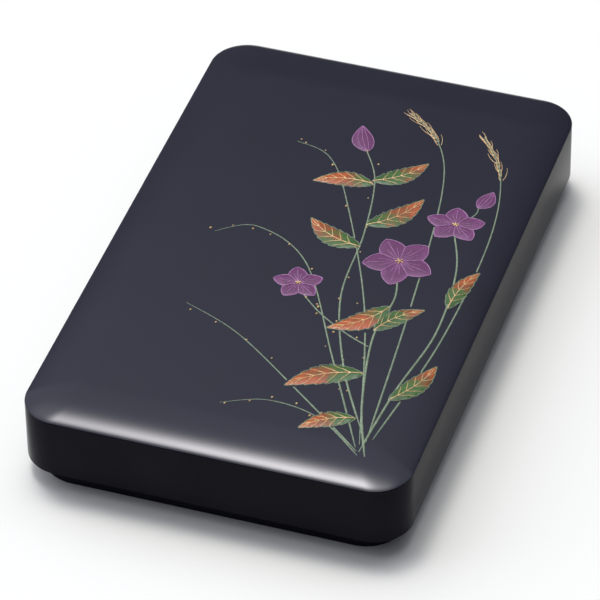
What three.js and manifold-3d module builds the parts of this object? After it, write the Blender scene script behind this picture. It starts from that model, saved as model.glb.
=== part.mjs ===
// A lacquered writing box: a crowned lid that lifts off a low body, and the board, tray and tools in it.
// Millimetres, +Z up. The origin is on the table under the middle of the box. Its short front side faces -Y.
import * as THREE from "three";
import { mergeVertices, toCreasedNormals } from "three/addons/utils/BufferGeometryUtils.js";
import Module from "manifold-3d";

const wasm = await Module();
wasm.setup();

// Clearances that every fit uses
const SEAT_GAP = 0.3; // under a piece that rests on another, and between two boards that are joined
const LID_GAP = 0.6; // between the lid's skirt and the body's wall, each side
const INSERT_GAP = 0.5; // round the board and the tray inside the body, and between them
const POCKET_GAP = 0.4; // round a tool in its pocket, each side
const BORE_GAP = 0.3; // radial, where one turned piece plugs into another

// Lid
const LID_CORNER = 16;
const LID_WALL = 4;
const LID_ROOF = 4;
const SKIRT_BOTTOM = 7.9; // height of the skirt's lower edge above the table
const SKIRT_EDGE_ROUND = 0.6;
const ARRIS_HEIGHT = 34.5; // where the upright side meets the crowned top
const ARRIS_ROUND = 0.8;
const CROWN_RISE = 3.4;
const CROWN_WIDTH = 24; // the band along the edge over which the crown rises
const CROWN_POWER = 2.5; // above 1, so the crown is steepest at the arris
const CROWN_CORNER_SHRINK = 2; // how much tighter the corner is where the crown ends
const ROOF_LAND = 5; // flat band under the roof that rests on the body's rim
const ROOF_DOME_RISE = 2.8;
const ROOF_DOME_WIDTH = 18;

// Body
const BODY_CORNER_EASE = 4.5; // how much rounder its corner is than the inside of the lid's
const BODY_WALL = 3.6;
const BODY_FLOOR = 5; // height of its floor above the table
const BODY_FOOT_ROUND = 1.6;
const BODY_RIM_ROUND = 0.8;
const BODY_COVE = 1.2; // room for the lacquer's rounded corner between its floor and walls
const FLOOR_RECESS = 1.2; // how far the floor's underside lies above the walls' feet

// Board that holds the stone, the dropper and the ink stick
const BOARD_HEIGHT = 6;
const BOARD_INNER_CORNER = 2;
const BOARD_TOP_ROUND = 0.6;
const BOARD_SIDE_MARGIN = 6.65; // beside the pocket of its widest tool
const BOARD_END_MARGIN = 9.6; // beyond its first and its last pocket
const BOARD_POCKET_SPACING = 10; // between one pocket and the next
const STONE_POCKET_DEPTH = 4;
const INK_POCKET_DEPTH = 3;
const DROPPER_POCKET_DEPTH = 4;
const FINGER_SCOOP_RADIUS = 9;
const FINGER_SCOOP_OVERLAP = 2.7; // how far the scoop's centre lies inside the pocket
const COVE_CLEARANCE = 0.4; // between the body's cove and what stands on the floor

// Inkstone
const STONE_WIDTH = 76;
const STONE_LENGTH = 136;
const STONE_HEIGHT = 14;
const STONE_CORNER = 4;
const STONE_BEVEL = 0.8;
const STONE_RIM = 6;
const STONE_BACK_RIM = 7;
const STONE_WELL_CORNER = 8;
const LAND_DEPTH = 2.4; // at the front of the rubbing surface
const LAND_SLOPE_DEPTH = 1; // how much more it falls before it turns down into the pool
const POOL_DEPTH = 9;
const POOL_LENGTH = 24;
const POOL_BANK_LENGTH = 16; // the curved bank from the rubbing surface to the pool
const POOL_FILLET = 3;

// Water dropper
const DROPPER_WIDTH = 58;
const DROPPER_LENGTH = 38;
const DROPPER_PAN_HEIGHT = 10.5;
const DROPPER_CORNER = 7;
const DROPPER_WALL = 1.2;
const DROPPER_DOME_RISE = 2;
const DROPPER_DOME_WIDTH = 8;
const DROPPER_HOLE_RADIUS = 1.4;
const SPOUT_RADIUS = 2.4;
const SPOUT_HEIGHT = 2.6;
const SPOUT_INSET = 8; // from the dropper's two sides to the spout's axis

// Ink stick
const INK_LENGTH = 75;
const INK_WIDTH = 22;
const INK_HEIGHT = 9;
const INK_CORNER = 3;
const INK_EDGE_ROUND = 1.4;
const INK_BORDER = 2.6;
const INK_PANEL_DEPTH = 0.6;

// Tray for the brushes and the paperweight
const TRAY_HEIGHT = 14;
const TRAY_WALL = 2.4;
const TRAY_FLOOR = 2.2;
const TRAY_INNER_CORNER = 2.5;
const TRAY_COVE = 1.2; // room for the lacquer's rounded corner between its floor and walls
const TRAY_RIM_ROUND = 0.8;
const TRAY_NOTCH_RADIUS = 9; // the half-round finger notch in each end wall
const TRAY_NOTCH_DEPTH = 6;
const DIVIDER_THICKNESS = 1.6;
const DIVIDER_HEIGHT = 7;
const REST_THICKNESS = 7;
const REST_HEIGHT = 6.3;
const REST_TOP_ROUND = 1;
const FRONT_REST_DISTANCE = 46; // from the tray's inner front end to the rest
const REAR_REST_DISTANCE = 122;

// Brushes: each is a handle with a tail knob, a ferrule, a tuft of hair and a cap
const LARGE_BRUSH = {
  name: "large_brush",
  handleRadius: 4.8,
  bambooNodes: [0.34, 0.66], // where its growth rings lie, of the handle's length from the tail
  ferruleLip: 0.5, // how far the ferrule stands proud of the handle
  ferruleLength: 15,
  hairInset: 0.6, // how much slimmer the hair is than the ferrule
  hairLength: 50,
  capGrip: 10.5, // how much of the ferrule the cap covers
  capWall: 1,
  capRoom: 18, // free tray beyond the cap, in which it is pulled off
  knobLength: 9,
};
const SMALL_BRUSH = {
  name: "small_brush",
  handleRadius: 3.2,
  bambooNodes: [0.28, 0.74],
  ferruleLip: 0.4,
  ferruleLength: 10,
  hairInset: 0.6,
  hairLength: 30,
  capGrip: 7,
  capWall: 0.8,
  capRoom: 29,
  knobLength: 7,
};
const BRUSH_END_CLEARANCE = 5; // from the tray's inner front end to a brush's tail
const BRUSH_SIDE_CLEARANCE = 2.7; // from a cap to the tray's wall or the divider
const BRUSH_SPACING = 3.6; // between the two caps
const BAMBOO_RIDGE = 0.25;
const BAMBOO_RIDGE_LENGTH = 2.4;
const TENON_SHARE = 0.55; // a tenon's radius, of the radius of what it plugs into
const TENON_LENGTH = 6;
const HAIR_ROOT_SHARE = 0.72; // the hair's root in the ferrule, of the ferrule's radius
const CAP_TIP_ROOM = 5; // between the hair's point and the cap's end
const CAP_END_WALL = 2;

// Paperweight
const WEIGHT_LENGTH = 160;
const WEIGHT_WIDTH = 12;
const WEIGHT_HEIGHT = 9;
const WEIGHT_CORNER = 2.4;
const WEIGHT_BEVEL = 1.8;
const WEIGHT_END_CLEARANCE = 5;
const KNOB_RADIUS = 4.6;
const KNOB_HEIGHT = 6.6;
const KNOB_NECK_RADIUS = 2.2;
const STUD_RADIUS = 1.6;
const STUD_LENGTH = 5;

// How finely round forms are cut
const CORNER_STEPS = 7;
const ROUND_STEPS = 3;
const CROWN_STEPS = 9;
const TURNED_SIDES = 24;
const CUT_OVERSHOOT = 1; // how far a cutting solid runs past the face that it opens

const material = (color, roughness, metalness = 0) =>
  new THREE.MeshStandardMaterial({ color, roughness, metalness });
const BLACK_LACQUER = material(0x17171b, 0.22);
const SLATE = material(0x2c2e31, 0.62);
const BRASS = material(0xb08d4a, 0.32, 1);
const INK_CAKE = material(0x141416, 0.48);
const BAMBOO = material(0xc39a5c, 0.45);
const HORN = material(0x1d1714, 0.3);
const HAIR = material(0xd9c6a3, 0.8);
const BRONZE = material(0x5b4636, 0.4, 1);

// A rectangle with rounded corners, seen from above and running anticlockwise from its +X side.
// radii holds one radius, or four: at +X+Y, -X+Y, -X-Y and +X-Y.
function roundedRing(width, length, radii, z) {
  const four = Array.isArray(radii) ? radii : [radii, radii, radii, radii];
  const ring = [];
  const quarters = [[1, 1], [-1, 1], [-1, -1], [1, -1]];
  quarters.forEach(([sx, sy], quarter) => {
    const radius = Math.max(four[quarter], 0.05);
    const cx = sx * (width / 2 - radius);
    const cy = sy * (length / 2 - radius);
    for (let i = 0; i <= CORNER_STEPS; i++) {
      const angle = ((quarter + i / CORNER_STEPS) * Math.PI) / 2;
      ring.push(new THREE.Vector3(cx + radius * Math.cos(angle), cy + radius * Math.sin(angle), z));
    }
  });
  return ring;
}

// The same rectangle drawn in by inset on all sides, its corners keeping their centres.
function insetRing(width, length, radii, inset, z) {
  const four = Array.isArray(radii) ? radii : [radii, radii, radii, radii];
  return roundedRing(width - 2 * inset, length - 2 * inset, four.map((r) => r - inset), z);
}

// A closed skin over a stack of rings with equal point counts, the lowest first, with flat ends.
function loft(rings) {
  const count = rings[0].length;
  const points = rings.flat();
  const index = [];
  for (let r = 0; r + 1 < rings.length; r++) {
    for (let i = 0; i < count; i++) {
      const a = r * count + i;
      const b = r * count + ((i + 1) % count);
      index.push(a, b, b + count, a, b + count, a + count);
    }
  }
  const top = (rings.length - 1) * count;
  for (let i = 1; i + 1 < count; i++) {
    index.push(0, i + 1, i);
    index.push(top, top + i, top + i + 1);
  }
  const geometry = new THREE.BufferGeometry().setFromPoints(points);
  return geometry.setIndex(index);
}

// A closed three.js geometry as a manifold-3d solid.
function solidFrom(geometry) {
  const bare = geometry.clone();
  bare.deleteAttribute("normal");
  bare.deleteAttribute("uv");
  const merged = mergeVertices(bare, 1e-4);
  const kept = [];
  const corners = merged.index.array;
  for (let i = 0; i < corners.length; i += 3) {
    const [a, b, c] = [corners[i], corners[i + 1], corners[i + 2]];
    if (a !== b && b !== c && c !== a) kept.push(a, b, c);
  }
  return new wasm.Manifold(new wasm.Mesh({
    numProp: 3,
    vertProperties: new Float32Array(merged.attributes.position.array),
    triVerts: new Uint32Array(kept),
  }));
}

const loftSolid = (rings) => solidFrom(loft(rings));

// A solid turned about the Y axis. Its profile is a list of [radius, y].
function turned(profile) {
  const points = profile.map(([radius, y]) => new THREE.Vector2(radius, y));
  return solidFrom(new THREE.LatheGeometry(points, TURNED_SIDES));
}

// An upright round cutter or peg about (x, y).
function uprightCylinder(radius, x, y, low, high) {
  const geometry = new THREE.CylinderGeometry(radius, radius, high - low, TURNED_SIDES);
  geometry.rotateX(Math.PI / 2);
  geometry.translate(x, y, (low + high) / 2);
  return solidFrom(geometry);
}

function block(width, length, height, x, y, z) {
  const geometry = new THREE.BoxGeometry(width, length, height);
  geometry.translate(x, y, z);
  return solidFrom(geometry);
}

// A mesh from a solid, with its own copy of its finish, smooth across its rounds and crisp at its edges.
function piece(name, solid, finish) {
  const { numProp, numVert, vertProperties, triVerts } = solid.getMesh();
  const positions = new Float32Array(numVert * 3);
  for (let i = 0; i < numVert; i++) {
    positions.set(vertProperties.subarray(i * numProp, i * numProp + 3), i * 3);
  }
  const geometry = new THREE.BufferGeometry();
  geometry.setAttribute("position", new THREE.BufferAttribute(positions, 3));
  geometry.setIndex(new THREE.BufferAttribute(triVerts, 1));
  const mesh = new THREE.Mesh(toCreasedNormals(geometry, Math.PI / 6), finish.clone());
  mesh.name = name;
  return mesh;
}

function groupAt(x, y, z, ...children) {
  const group = new THREE.Group();
  group.position.set(x, y, z);
  group.add(...children);
  return group;
}

// Quarter-round steps from an upright side to a flat face: [how far in, how far along the side].
function quarterRound(radius, steps = ROUND_STEPS) {
  return Array.from({ length: steps + 1 }, (_, i) => {
    const angle = (i / steps) * (Math.PI / 2);
    return [radius * (1 - Math.cos(angle)), radius * Math.sin(angle)];
  });
}

// A rounded slab from z = 0 up, with a chamfer below and a quarter round above.
function slab(width, length, height, radii, underChamfer, topRound) {
  const rings = [
    insetRing(width, length, radii, underChamfer, 0),
    insetRing(width, length, radii, 0, underChamfer),
  ];
  for (const [inset, rise] of quarterRound(topRound)) {
    rings.push(insetRing(width, length, radii, inset, height - topRound + rise));
  }
  return loftSolid(rings);
}

// Height of the crown above the arris, at a distance in from the edge.
function crownHeight(inset, width, rise) {
  return rise * (1 - (1 - Math.min(inset / width, 1)) ** CROWN_POWER);
}

// The brushes, and what they need of the tray.
const ferruleRadius = (brush) => brush.handleRadius + brush.ferruleLip;
const capRadius = (brush) => ferruleRadius(brush) + BORE_GAP + brush.capWall;
const capStart = (brush) => brush.ferruleLength - brush.capGrip;
const capEnd = (brush) => brush.ferruleLength + brush.hairLength + CAP_TIP_ROOM + CAP_END_WALL;

// The tray is as wide as the brushes, the divider and the paperweight need side by side.
const bothCaps = 2 * capRadius(LARGE_BRUSH) + BRUSH_SPACING + 2 * capRadius(SMALL_BRUSH);
const weightRoom = WEIGHT_WIDTH + 2 * POCKET_GAP + TRAY_COVE;
const trayInnerWidth = bothCaps + 2 * BRUSH_SIDE_CLEARANCE + DIVIDER_THICKNESS + weightRoom;
const trayWidth = trayInnerWidth + 2 * TRAY_WALL;

// The board is as wide as its widest tool needs, and as long as its three pockets in a row.
const widestTool = Math.max(STONE_WIDTH, INK_LENGTH, DROPPER_WIDTH);
const boardWidth = widestTool + 2 * (POCKET_GAP + BOARD_SIDE_MARGIN);
const pocketsLength = STONE_LENGTH + INK_WIDTH + DROPPER_LENGTH + 6 * POCKET_GAP;
const insertLength = pocketsLength + 2 * BOARD_POCKET_SPACING + 2 * BOARD_END_MARGIN;

// The board and the tray lie side by side on the body's floor, and the lid goes over the body.
const insideWidth = trayWidth + boardWidth + 3 * INSERT_GAP;
const insideLength = insertLength + 2 * INSERT_GAP;
const bodyWidth = insideWidth + 2 * BODY_WALL;
const bodyLength = insideLength + 2 * BODY_WALL;
const bodyRim = ARRIS_HEIGHT - LID_ROOF - SEAT_GAP;
const lidWidth = bodyWidth + 2 * (LID_GAP + LID_WALL);
const lidLength = bodyLength + 2 * (LID_GAP + LID_WALL);
const bodyCorner = LID_CORNER - LID_WALL + BODY_CORNER_EASE;
const insideCorner = bodyCorner - BODY_WALL;
const insertCorner = insideCorner - INSERT_GAP;
const insertChamfer = BODY_COVE + COVE_CLEARANCE;

// The lid: an upright skirt under a crowned roof, open below.
function lidShell() {
  const outline = (inset, z) => {
    const corner = LID_CORNER - CROWN_CORNER_SHRINK * Math.min(inset / CROWN_WIDTH, 1);
    return roundedRing(lidWidth - 2 * inset, lidLength - 2 * inset, corner, z);
  };
  const rings = [];
  for (const [inset, rise] of quarterRound(SKIRT_EDGE_ROUND).reverse()) {
    rings.push(outline(inset, SKIRT_BOTTOM + SKIRT_EDGE_ROUND - rise));
  }
  const edgeSlope = Math.atan((CROWN_RISE * CROWN_POWER) / CROWN_WIDTH);
  const turn = Math.PI / 2 - edgeSlope;
  const tangent = ARRIS_ROUND * Math.tan(turn / 2);
  for (let i = 0; i <= ROUND_STEPS; i++) {
    const angle = (turn * i) / ROUND_STEPS;
    const inset = ARRIS_ROUND * (1 - Math.cos(angle));
    rings.push(outline(inset, ARRIS_HEIGHT - tangent + ARRIS_ROUND * Math.sin(angle)));
  }
  const arrisInset = ARRIS_ROUND * (1 - Math.cos(turn));
  for (let i = 1; i <= CROWN_STEPS; i++) {
    const inset = arrisInset + (CROWN_WIDTH - arrisInset) * (i / CROWN_STEPS);
    rings.push(outline(inset, ARRIS_HEIGHT + crownHeight(inset, CROWN_WIDTH, CROWN_RISE)));
  }
  const innerWidth = lidWidth - 2 * LID_WALL;
  const innerLength = lidLength - 2 * LID_WALL;
  const innerCorner = LID_CORNER - LID_WALL;
  const ceiling = ARRIS_HEIGHT - LID_ROOF;
  const cavity = [
    roundedRing(innerWidth, innerLength, innerCorner, SKIRT_BOTTOM - CUT_OVERSHOOT),
    roundedRing(innerWidth, innerLength, innerCorner, ceiling),
  ];
  for (let i = 0; i <= CROWN_STEPS; i++) {
    const inset = (ROOF_DOME_WIDTH * i) / CROWN_STEPS;
    const z = ceiling + crownHeight(inset, ROOF_DOME_WIDTH, ROOF_DOME_RISE);
    const drawnIn = 2 * (ROOF_LAND + inset);
    cavity.push(roundedRing(innerWidth - drawnIn, innerLength - drawnIn, innerCorner, z));
  }
  return loftSolid(rings).subtract(loftSolid(cavity));
}

// Cuts a ring of walls into two sides, two ends and the rounded corners between them, SEAT_GAP apart.
// left and right are how far the corners reach along the walls. The ends may take the right ones too.
function cutIntoBoards(ring, width, length, left, right, endsTakeRight) {
  const half = SEAT_GAP / 2;
  const far = width + length;
  const leftCut = left - width / 2;
  const rightCut = width / 2 - right;
  const part = (lowX, highX, lowY, highY) =>
    ring.intersect(block(highX - lowX, highY - lowY, far, (lowX + highX) / 2, (lowY + highY) / 2, 0));
  const boards = {
    side_left: part(-far, 0, left + half - length / 2, length / 2 - left - half),
    side_right: part(0, far, right + half - length / 2, length / 2 - right - half),
  };
  for (const [name, sign] of [["front", -1], ["back", 1]]) {
    const endPart = (lowX, highX, reach) => {
      const ends = [sign * far, sign * (length / 2 - reach + half)];
      return part(lowX, highX, Math.min(...ends), Math.max(...ends));
    };
    boards[`end_${name}`] = endPart(leftCut + half, endsTakeRight ? far : rightCut - half, right);
    boards[`corner_${name}_left`] = endPart(-far, leftCut - half, left);
    if (!endsTakeRight) boards[`corner_${name}_right`] = endPart(rightCut + half, far, right);
  }
  return boards;
}

const boardPieces = (prefix, boards) =>
  Object.entries(boards).map(([name, solid]) => piece(`${prefix}_${name}`, solid, BLACK_LACQUER));

// The body's walls: straight boards between corner blocks, rounded at the foot and at the rim.
function bodyWalls() {
  const outside = [];
  for (const [inset, rise] of quarterRound(BODY_FOOT_ROUND).reverse()) {
    outside.push(insetRing(bodyWidth, bodyLength, bodyCorner, inset, BODY_FOOT_ROUND - rise));
  }
  for (const [inset, rise] of quarterRound(BODY_RIM_ROUND)) {
    outside.push(insetRing(bodyWidth, bodyLength, bodyCorner, inset, bodyRim - BODY_RIM_ROUND + rise));
  }
  const inside = [insetRing(insideWidth, insideLength, insideCorner, 0, -CUT_OVERSHOOT)];
  for (const [inset, rise] of quarterRound(BODY_RIM_ROUND)) {
    const z = bodyRim - BODY_RIM_ROUND + rise;
    inside.push(insetRing(insideWidth, insideLength, insideCorner, -inset, z));
  }
  const above = bodyRim + CUT_OVERSHOOT;
  inside.push(insetRing(insideWidth, insideLength, insideCorner, -BODY_RIM_ROUND, above));
  const ring = loftSolid(outside).subtract(loftSolid(inside));
  return cutIntoBoards(ring, bodyWidth, bodyLength, bodyCorner, bodyCorner, false);
}

// The body's floor: a plate let in between the walls, a little above their feet.
function bodyFloor() {
  return loftSolid([FLOOR_RECESS, BODY_FLOOR].map((z) =>
    insetRing(insideWidth, insideLength, insideCorner, SEAT_GAP, z),
  ));
}

const insertBase = BODY_FLOOR + SEAT_GAP;
const trayX = -insideWidth / 2 + INSERT_GAP + trayWidth / 2;
const boardX = insideWidth / 2 - INSERT_GAP - boardWidth / 2;

// Where each tool lies along the board, from the front: the stone, the ink stick and the dropper.
const stoneY = -insertLength / 2 + BOARD_END_MARGIN + POCKET_GAP + STONE_LENGTH / 2;
const inkY = stoneY + STONE_LENGTH / 2 + BOARD_POCKET_SPACING + 2 * POCKET_GAP + INK_WIDTH / 2;
const dropperY = inkY + INK_WIDTH / 2 + BOARD_POCKET_SPACING + 2 * POCKET_GAP + DROPPER_LENGTH / 2;
const stoneZ = BOARD_HEIGHT - STONE_POCKET_DEPTH + SEAT_GAP;
const inkZ = BOARD_HEIGHT - INK_POCKET_DEPTH + SEAT_GAP;
const dropperZ = BOARD_HEIGHT - DROPPER_POCKET_DEPTH + SEAT_GAP;

function pocket(width, length, corner, y, depth) {
  const rings = [BOARD_HEIGHT - depth, BOARD_HEIGHT + CUT_OVERSHOOT].map((z) =>
    roundedRing(width + 2 * POCKET_GAP, length + 2 * POCKET_GAP, corner, z),
  );
  return loftSolid(rings).translate([0, y, 0]);
}

// The board: a pocket for each tool, and finger scoops at the stone's two ends.
function stoneBoard() {
  const corners = [insertCorner, BOARD_INNER_CORNER, BOARD_INNER_CORNER, insertCorner];
  let board = slab(boardWidth, insertLength, BOARD_HEIGHT, corners, insertChamfer, BOARD_TOP_ROUND);
  const pockets = [
    pocket(STONE_WIDTH, STONE_LENGTH, STONE_CORNER, stoneY, STONE_POCKET_DEPTH),
    pocket(INK_LENGTH, INK_WIDTH, INK_CORNER, inkY, INK_POCKET_DEPTH),
    pocket(DROPPER_WIDTH, DROPPER_LENGTH, DROPPER_CORNER, dropperY, DROPPER_POCKET_DEPTH),
  ];
  for (const cutter of pockets) {
    board = board.subtract(cutter);
  }
  for (const end of [-1, 1]) {
    const y = stoneY + end * (STONE_LENGTH / 2 + POCKET_GAP - FINGER_SCOOP_OVERLAP);
    const low = BOARD_HEIGHT - STONE_POCKET_DEPTH;
    board = board.subtract(uprightCylinder(FINGER_SCOOP_RADIUS, 0, y, low, BOARD_HEIGHT + CUT_OVERSHOOT));
  }
  return board;
}

// The inkstone: a flat rubbing surface that turns down into a pool for the ink, inside a raised rim.
function inkstone() {
  const stone = loftSolid([
    insetRing(STONE_WIDTH, STONE_LENGTH, STONE_CORNER, STONE_BEVEL, 0),
    insetRing(STONE_WIDTH, STONE_LENGTH, STONE_CORNER, 0, STONE_BEVEL),
    insetRing(STONE_WIDTH, STONE_LENGTH, STONE_CORNER, 0, STONE_HEIGHT - STONE_BEVEL),
    insetRing(STONE_WIDTH, STONE_LENGTH, STONE_CORNER, STONE_BEVEL, STONE_HEIGHT),
  ]);
  const front = -STONE_LENGTH / 2 + STONE_RIM;
  const back = STONE_LENGTH / 2 - STONE_BACK_RIM;
  const wellWidth = STONE_WIDTH - 2 * STONE_RIM;
  const landEnd = back - POOL_LENGTH;
  const landTop = STONE_HEIGHT - LAND_DEPTH;
  const bankTop = landTop - LAND_SLOPE_DEPTH;
  const poolFloor = STONE_HEIGHT - POOL_DEPTH;
  const above = STONE_HEIGHT + CUT_OVERSHOOT;
  const section = new THREE.Shape();
  section.moveTo(front, above);
  section.lineTo(front, landTop);
  section.lineTo(landEnd - POOL_BANK_LENGTH, bankTop);
  section.bezierCurveTo(
    landEnd - POOL_BANK_LENGTH / 3, bankTop - LAND_SLOPE_DEPTH / 3,
    landEnd - POOL_BANK_LENGTH / 3, poolFloor,
    landEnd + POOL_BANK_LENGTH / 3, poolFloor,
  );
  section.lineTo(back - POOL_FILLET, poolFloor);
  section.quadraticCurveTo(back, poolFloor, back, poolFloor + POOL_FILLET);
  section.lineTo(back, above);
  section.closePath();
  const cutter = new THREE.ExtrudeGeometry(section, {
    depth: wellWidth,
    bevelEnabled: false,
    curveSegments: 10,
  });
  // The section is drawn along Y and up, so its plane turns from XY to YZ.
  cutter.rotateX(Math.PI / 2);
  cutter.rotateZ(Math.PI / 2);
  cutter.translate(-wellWidth / 2, 0, 0);
  const plan = [0, above + CUT_OVERSHOOT].map((z) =>
    roundedRing(wellWidth, back - front, STONE_WELL_CORNER, z),
  );
  const well = solidFrom(cutter).intersect(loftSolid(plan).translate([0, (front + back) / 2, 0]));
  return stone.subtract(well);
}

// The dropper's open pan, which holds the water.
function dropperPan() {
  const outside = loftSolid([
    insetRing(DROPPER_WIDTH, DROPPER_LENGTH, DROPPER_CORNER, DROPPER_WALL, 0),
    insetRing(DROPPER_WIDTH, DROPPER_LENGTH, DROPPER_CORNER, 0, DROPPER_WALL),
    insetRing(DROPPER_WIDTH, DROPPER_LENGTH, DROPPER_CORNER, 0, DROPPER_PAN_HEIGHT),
  ]);
  const inside = [DROPPER_WALL, DROPPER_PAN_HEIGHT + CUT_OVERSHOOT].map((z) =>
    insetRing(DROPPER_WIDTH, DROPPER_LENGTH, DROPPER_CORNER, DROPPER_WALL, z),
  );
  return outside.subtract(loftSolid(inside));
}

const spoutX = DROPPER_WIDTH / 2 - SPOUT_INSET;
const spoutY = DROPPER_LENGTH / 2 - SPOUT_INSET;

// The dropper's domed top, with an air hole in the middle and a seat for the spout in one corner.
function dropperTop() {
  const dome = (inset, lift) =>
    [0, 1, 2, 3, 4].map((i) => {
      const across = inset + (DROPPER_DOME_WIDTH * i) / 4;
      const rise = crownHeight(across - inset, DROPPER_DOME_WIDTH, DROPPER_DOME_RISE);
      return insetRing(DROPPER_WIDTH, DROPPER_LENGTH, DROPPER_CORNER, across, lift + rise);
    });
  const edge = insetRing(DROPPER_WIDTH, DROPPER_LENGTH, DROPPER_CORNER, 0, 0);
  const outside = loftSolid([edge, ...dome(0, DROPPER_WALL)]);
  const mouth = insetRing(DROPPER_WIDTH, DROPPER_LENGTH, DROPPER_CORNER, DROPPER_WALL, -CUT_OVERSHOOT);
  const inside = loftSolid([mouth, ...dome(DROPPER_WALL, 0)]);
  const high = DROPPER_WALL + DROPPER_DOME_RISE + CUT_OVERSHOOT;
  return outside
    .subtract(inside)
    .subtract(uprightCylinder(DROPPER_HOLE_RADIUS, 0, 0, 0, high))
    .subtract(uprightCylinder(SPOUT_RADIUS + BORE_GAP, spoutX, spoutY, 0, high));
}

// The spout: a short tube soldered into the dropper's top.
function dropperSpout() {
  const tube = turned([
    [DROPPER_HOLE_RADIUS, -DROPPER_WALL],
    [SPOUT_RADIUS, -DROPPER_WALL],
    [SPOUT_RADIUS, SPOUT_HEIGHT - DROPPER_WALL],
    [(SPOUT_RADIUS + DROPPER_HOLE_RADIUS) / 2, SPOUT_HEIGHT],
    [DROPPER_HOLE_RADIUS, SPOUT_HEIGHT],
    [DROPPER_HOLE_RADIUS, -DROPPER_WALL],
  ]);
  return tube.rotate([90, 0, 0]);
}

// The ink stick: a moulded bar with a raised border round a sunk panel on each broad face.
function inkStick() {
  const rings = [];
  for (const [inset, rise] of quarterRound(INK_EDGE_ROUND).reverse()) {
    rings.push(insetRing(INK_LENGTH, INK_WIDTH, INK_CORNER, inset, INK_EDGE_ROUND - rise));
  }
  for (const [inset, rise] of quarterRound(INK_EDGE_ROUND)) {
    rings.push(insetRing(INK_LENGTH, INK_WIDTH, INK_CORNER, inset, INK_HEIGHT - INK_EDGE_ROUND + rise));
  }
  const panel = (low, high) =>
    loftSolid([low, high].map((z) =>
      roundedRing(INK_LENGTH - 2 * INK_BORDER, INK_WIDTH - 2 * INK_BORDER, INK_CORNER, z),
    ));
  return loftSolid(rings)
    .subtract(panel(INK_HEIGHT - INK_PANEL_DEPTH, INK_HEIGHT + CUT_OVERSHOOT))
    .subtract(panel(-CUT_OVERSHOOT, INK_PANEL_DEPTH));
}

const trayInnerLength = insertLength - 2 * TRAY_WALL;
const trayCorners = [TRAY_INNER_CORNER, insertCorner, insertCorner, TRAY_INNER_CORNER];

const trayWellCorners = trayCorners.map((r) => Math.max(r - TRAY_WALL, TRAY_COVE + TRAY_RIM_ROUND));

// The tray's walls: its two left corners are rounded like the body's, and each end has a finger notch.
function trayWalls() {
  const outside = slab(trayWidth, insertLength, TRAY_HEIGHT, trayCorners, insertChamfer, TRAY_RIM_ROUND);
  const inside = loftSolid([-CUT_OVERSHOOT, TRAY_HEIGHT + CUT_OVERSHOOT].map((z) =>
    roundedRing(trayInnerWidth, trayInnerLength, trayWellCorners, z),
  ));
  const reach = insertLength / 2 + CUT_OVERSHOOT;
  const notch = turned([[0, -reach], [TRAY_NOTCH_RADIUS, -reach], [TRAY_NOTCH_RADIUS, reach], [0, reach]]);
  const ring = outside
    .subtract(inside)
    .subtract(notch.translate([0, 0, TRAY_HEIGHT - TRAY_NOTCH_DEPTH + TRAY_NOTCH_RADIUS]));
  const stub = TRAY_WALL + trayWellCorners[0];
  return cutIntoBoards(ring, trayWidth, insertLength, insertCorner, stub, true);
}

// The tray's floor: a plate between its walls.
function trayFloor() {
  return loftSolid([0, TRAY_FLOOR].map((z) =>
    insetRing(trayInnerWidth, trayInnerLength, trayWellCorners, SEAT_GAP, z),
  ));
}

const brushZ = (brush) => TRAY_FLOOR + SEAT_GAP + capRadius(brush);
const largeX = -trayInnerWidth / 2 + BRUSH_SIDE_CLEARANCE + capRadius(LARGE_BRUSH);
const smallX = largeX + capRadius(LARGE_BRUSH) + BRUSH_SPACING + capRadius(SMALL_BRUSH);
const weightX = trayInnerWidth / 2 - POCKET_GAP - WEIGHT_WIDTH / 2 - TRAY_COVE;
const dividerX = weightX - WEIGHT_WIDTH / 2 - POCKET_GAP - DIVIDER_THICKNESS / 2;
const trayFront = -trayInnerLength / 2;

// The thin wall between the brushes and the paperweight.
function trayDivider() {
  const length = trayInnerLength - 2 * SEAT_GAP - 2 * TRAY_COVE;
  return slab(DIVIDER_THICKNESS, length, DIVIDER_HEIGHT, DIVIDER_THICKNESS / 3, 0.2, DIVIDER_THICKNESS / 3);
}

// A rest across the brushes' side of the tray, with a notch under each handle.
function brushRest() {
  const low = -trayInnerWidth / 2 + TRAY_COVE + SEAT_GAP;
  const high = dividerX - DIVIDER_THICKNESS / 2 - SEAT_GAP;
  const face = new THREE.Shape();
  face.moveTo(low, 0);
  face.lineTo(high, 0);
  face.lineTo(high, REST_HEIGHT - REST_TOP_ROUND);
  face.absarc(high - REST_TOP_ROUND, REST_HEIGHT - REST_TOP_ROUND, REST_TOP_ROUND, 0, Math.PI / 2);
  face.absarc(low + REST_TOP_ROUND, REST_HEIGHT - REST_TOP_ROUND, REST_TOP_ROUND, Math.PI / 2, Math.PI);
  face.closePath();
  const bar = new THREE.ExtrudeGeometry(face, {
    depth: REST_THICKNESS,
    bevelEnabled: false,
    curveSegments: ROUND_STEPS,
  });
  bar.rotateX(Math.PI / 2);
  bar.translate(0, REST_THICKNESS / 2, 0);
  let rest = solidFrom(bar);
  for (const [brush, x] of [[LARGE_BRUSH, largeX], [SMALL_BRUSH, smallX]]) {
    const radius = brush.handleRadius + BAMBOO_RIDGE + BORE_GAP;
    const axis = brushZ(brush) - TRAY_FLOOR - SEAT_GAP;
    const half = REST_THICKNESS / 2 + CUT_OVERSHOOT;
    const groove = turned([[0, -half], [radius, -half], [radius, half], [0, half]]);
    rest = rest.subtract(groove.translate([x, 0, axis]));
    rest = rest.subtract(block(2 * radius, 2 * half, 2 * radius, x, 0, axis + radius));
  }
  return rest;
}

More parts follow.
